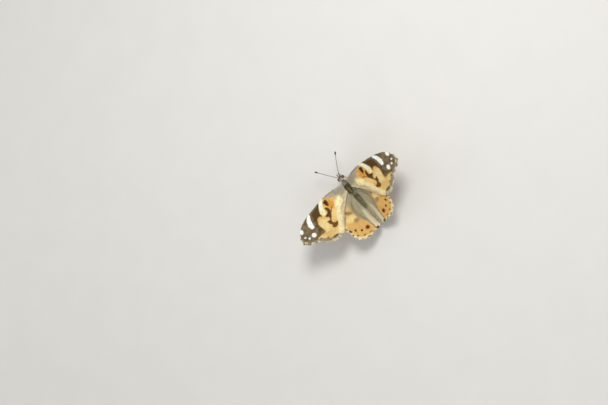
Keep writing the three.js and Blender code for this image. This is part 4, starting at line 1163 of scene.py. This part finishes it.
def makeRearTuft(wing, side):
    # hair under the rear edge of the forewing's root, closing the gap above the hindwing
    count = rearTuft["hairs"]
    start, end = np.array(rearTuft["line"])
    along = unit(end - start)
    outward = np.array([-along[1], along[0]])
    share = draw.uniform(0, 1, count)
    flat = start + share[:, None] * (end - start)
    flat = turnWing(wing, side, flat - draw.uniform(0.05, 1, count)[:, None] * rearTuft["depth"] * outward)
    root = wingSurface(wing, side, flat, -1, wingShape["farFromVeins"])
    ways = unit(np.append(0.35 * outward + 0.25 * along, -0.8) + draw.normal(0, 0.14, (count, 3)))
    colours = varied(plain("#B0A588", count), 0.8, 1.2)
    lengths = rearTuft["length"] * (1 - 0.45 * share) * draw.uniform(0.7, 1.15, count)
    addWingCoat(wing, side, "rear_tuft", wingSpikes(rearTuft, flat, root, ways, lengths, colours))


def makeTrailingFringe(wing, side):
    # pale hair along the rear edge of the forewing, lying over the hindwing
    count = trailingFringe["hairs"]
    line, _ = smoothPath(trailingFringe["line"], 0.1)
    pick = draw.integers(0, len(line), count)
    along = unit(np.gradient(line, axis=0))[pick]
    outward = np.c_[-along[:, 1], along[:, 0]]
    home = line[pick] - draw.uniform(0.0, 0.5, count)[:, None] * outward
    far = np.full(count, wingShape["farFromVeins"])
    flat = turnWing(wing, side, home)
    root = wingSurface(wing, side, flat, 1, far)
    ways = unit(np.c_[0.8 * outward + 0.45 * along, np.full(count, -0.38)] + draw.normal(0, 0.09, (count, 3)))
    # painted light: the hairs are lighter than the wing under them, to offset the shade they lie in
    colours = np.minimum(varied(foreTopColours(home, far), 0.95, 1.25), 1)
    lengths = trailingFringe["length"] * draw.uniform(0.6, 1.2, count)
    addWingCoat(wing, side, "trailing_fringe", wingSpikes(trailingFringe, flat, root, ways, lengths, colours))


def makeWing(wing, side):
    rim, outward, between = wingRim(wing, side)
    lines = veinLines(wing, side)
    makeMembrane(wing, side, rim, lines)
    for face in (1, -1):
        makeScaleCoat(wing, side, rim, lines, face)
    makeFringe(wing, side, rim, outward, between)
    makeWingHair(wing, side, lines)
    if wing["kind"] == "hindwing":
        makeInnerFringe(wing, side)
    else:
        makeRearTuft(wing, side)
        makeTrailingFringe(wing, side)


for side in ("left", "right"):
    for wing in (forewing, hindwing):
        makeWing(wing, side)
    print(f"{side} wings made")


# Head: eyes, palps, antennae and the coiled tongue

def eyeSkin():
    # a globe whose lenses are drawn about five times as coarse as real ones, to show
    n = eye["facets"]
    k = np.arange(n) + 0.5
    rise, turn = 1 - 2 * k / n, np.pi * (1 + 5 ** 0.5) * k
    flat = np.sqrt(1 - rise ** 2)
    lenses = np.c_[rise, flat * np.cos(turn), flat * np.sin(turn)]
    ball = bmesh.new()
    bmesh.ops.create_icosphere(ball, subdivisions=6, radius=1)
    points = np.array([v.co for v in ball.verts])
    faces = np.array([[v.index for v in f.verts] for f in ball.faces])
    ball.free()
    nearest = np.concatenate([(block @ lenses.T).max(axis=1) for block in np.array_split(points, 20)])
    spacing = math.sqrt(4 * math.pi / n)
    edge = np.clip(np.arccos(np.clip(nearest, -1, 1)) / (0.6 * spacing), 0, 1)
    # hazel pigment, darker above, with rows of dark flecks and a dark seam round each lens
    flecks = mottled(points[:, 1] * 3 + 5, points[:, 2] * 3 + 5, 0.8, 21, 0.6, 0.8)
    colours = layered(
        plain("#79643F", len(points)), (smoothStep(0.1, 0.9, points[:, 2]) * 0.5, "#4C3A22"),
        (flecks * 0.6, "#33230F"), (edge ** 2 * 0.55, "#332718"))
    points = points * np.array(eye["radii"]) * (1 - eye["relief"] * edge ** 2)[:, None] + eye["centre"]
    return fromBody(points), faces, colours


def makeEyes():
    globe = eyeSkin()
    for side in ("left", "right"):
        addPiece(f"eye_{side}_lens", eyeLens, "eye", *globe, side=side, replaced=(f"eye_{side}",))


def aroundTube(count, sides):
    # height of each point round a tube with two hubs, from -1 below to 1 above
    return np.append(np.tile(-np.sin(2 * np.pi * np.arange(sides) / sides), count), [0, 0])


palp = {"root": (0.5, -3.8, -0.95), "bend": (0.56, -5.1, -0.5), "tip": (0.44, -5.85, 0.32),
        "wide": 0.22, "high": 0.34, "sides": 16, "hairs": 1300, "length": 0.4, "width": 0.022,
        "shades": (0.8, 1.1), "sag": 0.1, "rootDepth": 0.03}


def makePalp(side):
    path, _ = smoothPath([palp["root"], palp["bend"], palp["tip"]], 0.08)
    sides, count = palp["sides"], palp["hairs"]
    swell = np.sin(np.pi * np.interp(np.linspace(0, 1, len(path)), [0, 1], [0.25, 0.93]))
    rings = tubeRings(path, palp["wide"] * swell, palp["high"] * swell, sides)
    points, faces = tubeSkin(rings)
    above = smoothStep(-0.2, 0.5, aroundTube(len(path), sides))
    colours = blendTo(plain("#D8D0BE", len(points)), above, "#8C7C68")
    addPiece(f"palp_{side}_skin", bodyCuticle, "palp_hair", fromBody(points), faces, colours * 0.8,
             side=side, replaced=(f"palp_{side}",))
    pick = draw.integers(2, len(path) - 3, count)
    turn = draw.uniform(0, 2 * np.pi, count)
    ringAt = rings[pick, (turn / (2 * np.pi) * sides).astype(int) % sides]
    outward = unit(ringAt - path[pick])
    along = unit(np.gradient(path, axis=0))[pick]
    ways = unit(along + outward * draw.uniform(0.25, 0.6, count)[:, None])
    shade = blendTo(plain("#DDD6C6", count), smoothStep(-0.1, 0.6, outward[:, 2]) * 0.9, "#A39280")
    shade = varied(shade, 0.8, 1.15)
    lengths = palp["length"] * draw.uniform(0.7, 1.2, count)
    places = np.c_[turn / (2 * np.pi) * 0.9 + 0.05, pick / len(path) * 0.9 + 0.05]
    roots, *rest = spikes(ringAt - palp["rootDepth"] * outward, ways, lengths, palp["width"], shade,
                          palp["shades"], places, -palp["sag"] * outward)
    addPiece(f"palp_{side}_coat", bodyHair, "palp_hair", fromBody(roots), *rest, side)


antenna = {
    "root": (0.44, -3.6, 1.3), "firstJoint": (0.44, -3.74, 1.82), "length": 12.4, "spread": 33.0,
    "arch": 0.9, "radius": 0.115, "joints": 42, "clubRadius": 0.36, "clubLength": 2.1, "sides": 14,
}


def makeAntenna(side):
    root = np.array(antenna["firstJoint"])
    spread = math.radians(antenna["spread"])
    tip = root + antenna["length"] * np.array([math.sin(spread), -math.cos(spread), 0])
    arch = root + (tip - root) * 0.4 + (0, 0, antenna["arch"])
    path, _ = smoothPath([root, arch, tip], 0.045)
    path = np.vstack([np.linspace(antenna["root"], root, 10)[:-1], path])
    travelled = np.append(0, np.cumsum(np.linalg.norm(np.diff(path, axis=0), axis=1)))
    share = travelled / travelled[-1]
    joint = (share * antenna["joints"]) % 1
    clubStart = 1 - antenna["clubLength"] / antenna["length"]
    club = np.clip((share - clubStart) / (1 - clubStart), 0, 1)
    radius = antenna["radius"] + (antenna["clubRadius"] - antenna["radius"]) * (
        smoothStep(0.0, 0.6, club) * np.sqrt(np.clip(1 - ((club - 0.6) / 0.4) ** 2 * (club > 0.6), 0, 1)))
    radius = radius * np.sqrt(np.clip(1 - (np.clip(club - 0.82, 0, 1) / 0.18) ** 2, 0.01, 1))    # domed end
    radius = radius * (1 + 0.1 * np.sin(np.pi * joint)) + 0.1 * np.exp(-((travelled / 0.5) ** 2))
    sides = antenna["sides"]
    points, faces = tubeSkin(tubeRings(path, radius, radius * (1 - 0.25 * smoothStep(0.1, 0.5, club)), sides))
    pale = np.exp(-((np.minimum(joint, 1 - joint) / 0.13) ** 2)) * (1 - smoothStep(0, 0.2, club))
    colours = layered(plain("#33271E", len(path)), (pale * 0.5, "#B3A892"),
                      (smoothStep(0.88, 0.95, club), "#E3D6B4"))
    under = aroundTube(len(path), sides)[:-2] < -0.5
    colours = blendTo(np.repeat(colours, sides, axis=0), under * 0.35, "#B0A48E")
    colours = np.vstack([colours, colours[:1], colours[-1:]])
    addPiece(f"antenna_{side}_shaft", bodyCuticle, "antenna", fromBody(points), faces, colours,
             side=side, replaced=(f"antenna_{side}",))


tongue = {"centre": (0, -4.3, -2.5), "turns": 2.6, "outer": 0.86, "inner": 0.14, "radius": 0.115,
          "mouth": (0, -3.6, -1.05), "rings": 110, "sides": 12}


def makeTongue():
    # two half tubes side by side, led forwards from the mouth and coiled under the head
    turns = np.linspace(0, tongue["turns"], 260)
    spiral = tongue["outer"] + (tongue["inner"] - tongue["outer"]) * turns / tongue["turns"]
    angle = 2 * np.pi * turns
    coil = np.c_[0 * turns, -spiral * np.sin(angle), spiral * np.cos(angle)] + tongue["centre"]
    rise, _ = smoothPath([tongue["mouth"], coil[0], coil[9]], 0.06)
    path = np.vstack([rise[:-1], coil[9:]])
    share = np.linspace(0, 1, len(path))
    ripple = 1 + 0.04 * np.sin(2 * np.pi * share * tongue["rings"])
    radius = tongue["radius"] * np.interp(share, [0, 0.75, 1], [1.2, 0.85, 0.55]) * ripple
    halves = [tubeSkin(tubeRings(path + np.c_[across * radius, 0 * radius, 0 * radius], radius, radius,
                                 tongue["sides"], (1, 0, 0))) for across in (-0.55, 0.55)]
    points, faces = joined(halves)
    addPiece("tongue", tongueChitin, "tongue", fromBody(points), faces, replaced=("proboscis",))


makeEyes()
for side in ("left", "right"):
    makePalp(side)
    makeAntenna(side)
makeTongue()
print("head made")


# Legs: knee, ankle and toe from the wing roots; the hip lies on the thorax at s, an angle below
# its side

legs = {
    "midleg": {"hip": (1.2, 38), "knee": (6.2, 0.1, -3.2), "ankle": (8.5, 0.9), "toe": (10.3, -2.7)},
    "hindleg": {"hip": (4.2, 40), "knee": (5.5, 8.2, -3.3), "ankle": (7.1, 12.1), "toe": (8.5, 16.7)},
}
legShape = {
    # radius at each end
    "coxa": (0.5, 0.38), "femur": (0.36, 0.27), "tibia": (0.24, 0.2), "tarsus": (0.2, 0.14),
    "tarsusJoints": (0.42, 0.6, 0.75, 0.87, 1.0), "tarsusColours": ("#A98F68", "#B79E76"),
    "sides": 14, "hairShades": (0.8, 1.15), "dark": "#3C2C1E",
    # stretch, hairs, length, width, lift, and the colour of a coat
    "coat": [("hip", 700, 0.6, 0.025, 0.4, "#C2B79C"), ("femur", 800, 0.34, 0.024, 0.2, "#C0B294"),
             ("tibia", 600, 0.22, 0.02, 0.16, "#BBA681"), ("tarsus", 350, 0.16, 0.016, 0.12, "#B29A72")],
    "spines": [("tibia", 26, 0.42, 0.02, 0.7), ("tarsus", 30, 0.24, 0.016, 0.5)],
    "claw": {"length": 0.5, "width": 0.05}, "spur": {"length": 0.55, "width": 0.035},
}
brushFoot = {
    "path": [(0.8, -0.3, -1.5), (0.95, -0.55, -2.2), (1.35, -1.7, -2.75), (1.2, -2.7, -2.95),
             (0.95, -3.1, -3.6)],
    "radii": (0.26, 0.12), "sides": 12, "hairs": 1500, "width": 0.022, "shades": (0.8, 1.1),
    "length": 0.62, "tipLength": 0.3,
}


def limbSkin(a, b, start, end, swell):
    # one length of a leg, fuller in the middle, closed round at both ends
    t = np.concatenate([[0, 0.01, 0.03], np.linspace(0.06, 0.94, 12), [0.97, 0.99, 1]])
    ends = np.sqrt(np.clip(1 - (np.clip(np.abs(t - 0.5) * 2 - 0.88, 0, 1) / 0.12) ** 2, 0.02, 1))
    radius = (start + (end - start) * t) * (1 + swell * np.sin(np.pi * t)) * ends
    return tubeRings(a + (b - a) * t[:, None], radius, radius, legShape["sides"])


def legHairs(a, b, start, end, count, length, width, lift, colour):
    # short scale-hairs lying down along a length of leg
    t = draw.uniform(0.02, 0.98, count)
    turn = draw.uniform(0, 2 * np.pi, count)
    along = unit(b - a)
    side = unit(np.cross(along, [0.2, 0.1, 0.97]))
    outward = np.cos(turn)[:, None] * side + np.sin(turn)[:, None] * np.cross(along, side)
    radius = start + (end - start) * t
    root = a + (b - a) * t[:, None] + outward * (radius * 0.95)[:, None]
    ways = unit(along + outward * (lift * draw.uniform(0.5, 1.5, count))[:, None])
    shade = varied(plain(colour, count), 0.65, 1.3)
    room = root[:, 2] + stance["wingRootHeight"]          # none may reach through the floor
    ways[:, 2] = np.where(room + ways[:, 2] * length < 0.05, np.abs(ways[:, 2]) * 0.2, ways[:, 2])
    return spikes(root, unit(ways), length * draw.uniform(0.6, 1.2, count), width, shade,
                  legShape["hairShades"], np.c_[0.05 + 0.9 * turn / (2 * np.pi), 0.05 + 0.9 * t])


def makeLeg(name, leg, side):
    s, below = leg["hip"]
    wide, high = (float(v[0]) for v in bodyReach(np.array([s])))
    seat = np.array([wide * math.cos(math.radians(below)), s, -high * math.sin(math.radians(below))])
    hip, inside = fromBody(seat), fromBody(seat * (0.55, 1, 0.55))
    floor = -stance["wingRootHeight"]
    knee = np.array(leg["knee"])
    ankle = np.array([*leg["ankle"], floor + legShape["tarsus"][0]])
    toe = np.array([*leg["toe"], floor + legShape["tarsus"][1]])
    limbs = [(limbSkin(inside, hip + (knee - hip) * 0.08, *legShape["coxa"], 0.1), "#A3957C"),
             (limbSkin(hip, knee, *legShape["femur"], 0.12), "#B3A488"),
             (limbSkin(knee, ankle, *legShape["tibia"], 0.05), "#BCA782")]
    ends = (0, *legShape["tarsusJoints"])
    places = [ankle + (toe - ankle) * end for end in ends]
    radii = [legShape["tarsus"][0] + (legShape["tarsus"][1] - legShape["tarsus"][0]) * end for end in ends]
    for k in range(len(ends) - 1):
        rings = limbSkin(places[k], places[k + 1], radii[k] * 0.9, radii[k + 1] * 1.02, 0.02)
        limbs.append((rings, legShape["tarsusColours"][k % 2]))
    parts = []
    for rings, code in limbs:
        points, faces = tubeSkin(rings)
        parts.append((points, faces, plain(code, len(points))))
    addPiece(f"{name}_{side}_skin", bodyCuticle, "leg", *joined(parts), side=side,
             replaced=tuple(f"{name}_{part}_{side}" for part in ("femur", "tibia", "tarsus")))
    stretches = {"hip": (inside, hip, 0.5, 0.4), "femur": (hip, knee, *legShape["femur"]),
                 "tibia": (knee, ankle, *legShape["tibia"]), "tarsus": (ankle, toe, *legShape["tarsus"])}
    hairs = [legHairs(*stretches[stretch], *look) for stretch, *look in legShape["coat"]]
    addPiece(f"{name}_{side}_coat", bodyHair, "leg", *joined(hairs), side)
    spines = [legHairs(*stretches[stretch], *look, legShape["dark"]) for stretch, *look in legShape["spines"]]
    along = unit(toe - ankle)
    aside = unit(np.cross(along, (0, 0, 1)))
    pair = np.array([aside, -aside])
    dark = plain(legShape["dark"], 2)
    claw, spur = legShape["claw"], legShape["spur"]
    spines.append(spikes(toe + 0.05 * pair, unit(along + 0.55 * pair + (0, 0, 0.12)), claw["length"],
                         claw["width"], dark, (1, 1), np.full((2, 2), 0.5), (0, 0, -0.22) - 0.25 * pair, 5))
    spines.append(spikes(np.tile(ankle, (2, 1)) + (0, 0, 0.12), unit(along + 0.5 * pair + (0, 0, 0.05)),
                         spur["length"], spur["width"], dark, (1, 1), np.full((2, 2), 0.4), joints=3))
    points, faces, _, patches = joined(spines)            # the claws' material has its own tint
    addPiece(f"{name}_{side}_spines", clawChitin, "leg", points, faces, None, patches, side)


def makeBrushFoot(side):
    # the short folded foreleg, bushy with long pale hair
    path, _ = smoothPath(brushFoot["path"], 0.12)
    radius = np.linspace(*brushFoot["radii"], len(path))
    points, faces = tubeSkin(tubeRings(path, radius, radius, brushFoot["sides"], (1, 0, 0)))
    addPiece(f"foreleg_{side}_skin", bodyCuticle, "leg", fromBody(points), faces,
             plain("#A89C84", len(points)), side=side, replaced=(f"foreleg_{side}",))
    count = brushFoot["hairs"]
    pick = draw.integers(1, len(path) - 1, count)
    along = unit(np.gradient(path, axis=0))[pick]
    turn = draw.uniform(0, 2 * np.pi, count)
    aside = unit(np.cross(along, [1, 0.1, 0]))
    outward = np.cos(turn)[:, None] * aside + np.sin(turn)[:, None] * np.cross(along, aside)
    ways = unit(along + outward * draw.uniform(0.2, 0.5, count)[:, None])
    shade = varied(plain("#C9C0AA", count), 0.7, 1.15)
    lengths = np.where(path[pick][:, 2] < -3.2, brushFoot["tipLength"], brushFoot["length"])
    places = np.c_[0.05 + 0.9 * turn / (2 * np.pi), 0.05 + 0.9 * pick / len(path)]
    points, *rest = spikes(path[pick] + outward * (radius[pick] * 0.9)[:, None], ways,
                           lengths * draw.uniform(0.7, 1.2, count), brushFoot["width"], shade,
                           brushFoot["shades"], places)
    addPiece(f"foreleg_{side}_coat", bodyHair, "leg", fromBody(points), *rest, side)


for side in ("left", "right"):
    for name, leg in legs.items():
        makeLeg(name, leg, side)
    makeBrushFoot(side)
print("legs made")


# Studio: pale floor and soft lights

studio = {
    "floorColour": "#D9D7D2", "floorHalf": 0.6, "mottle": 60.0, "world": 0.52,
    # place in metres, size, power
    "lights": {"key": ((-0.22, -0.1, 0.42), 0.16, 1.45), "fill": ((0.35, -0.25, 0.25), 0.3, 0.3),
               "rim": ((0.1, 0.4, 0.3), 0.25, 0.35)},
}


def makeStudio():
    # a painted board: matt and faintly mottled, so the floor stays quiet
    tree, shader, material = newMaterial("matt painted board", {"Roughness": 0.85})
    place = addNode(tree, "ShaderNodeTexCoord")
    noise = addNode(tree, "ShaderNodeTexNoise", {"Scale": studio["mottle"], "Detail": 4.0},
                    {"Vector": place.outputs["Object"]})
    tone = addNode(tree, "ShaderNodeMix", {"data_type": "RGBA"}, {"Factor": noise.outputs["Fac"]})
    tone.inputs["A"].default_value = (*linearColour(studio["floorColour"]), 1)
    tone.inputs["B"].default_value = (*(linearColour(studio["floorColour"]) * 0.94), 1)
    tree.links.new(tone.outputs["Result"], shader.inputs["Base Color"])
    half = studio["floorHalf"]
    mesh = bpy.data.meshes.new("floor")
    mesh.from_pydata([(-half, -half, 0), (half, -half, 0), (half, half, 0), (-half, half, 0)], [],
                     [(0, 1, 2, 3)])
    mesh.materials.append(material)
    floor = bpy.data.objects.new("floor", mesh)
    bpy.context.scene.collection.objects.link(floor)
    world = bpy.data.worlds.new("studio")
    world.use_nodes = True
    background = world.node_tree.nodes["Background"].inputs
    background[0].default_value = (1, 1, 1, 1)
    background[1].default_value = studio["world"]
    bpy.context.scene.world = world
    for name, (place, size, power) in studio["lights"].items():
        data = bpy.data.lights.new(name, "AREA")
        data.size, data.energy = size, power
        lamp = bpy.data.objects.new(name, data)
        lamp.location = place
        lamp.rotation_euler = (Vector((0, 0, 0.01)) - Vector(place)).to_track_quat("-Z", "Y").to_euler()
        bpy.context.scene.collection.objects.link(lamp)
    bpy.context.scene.view_settings.view_transform = "Standard"


makeStudio()
print("studio made")
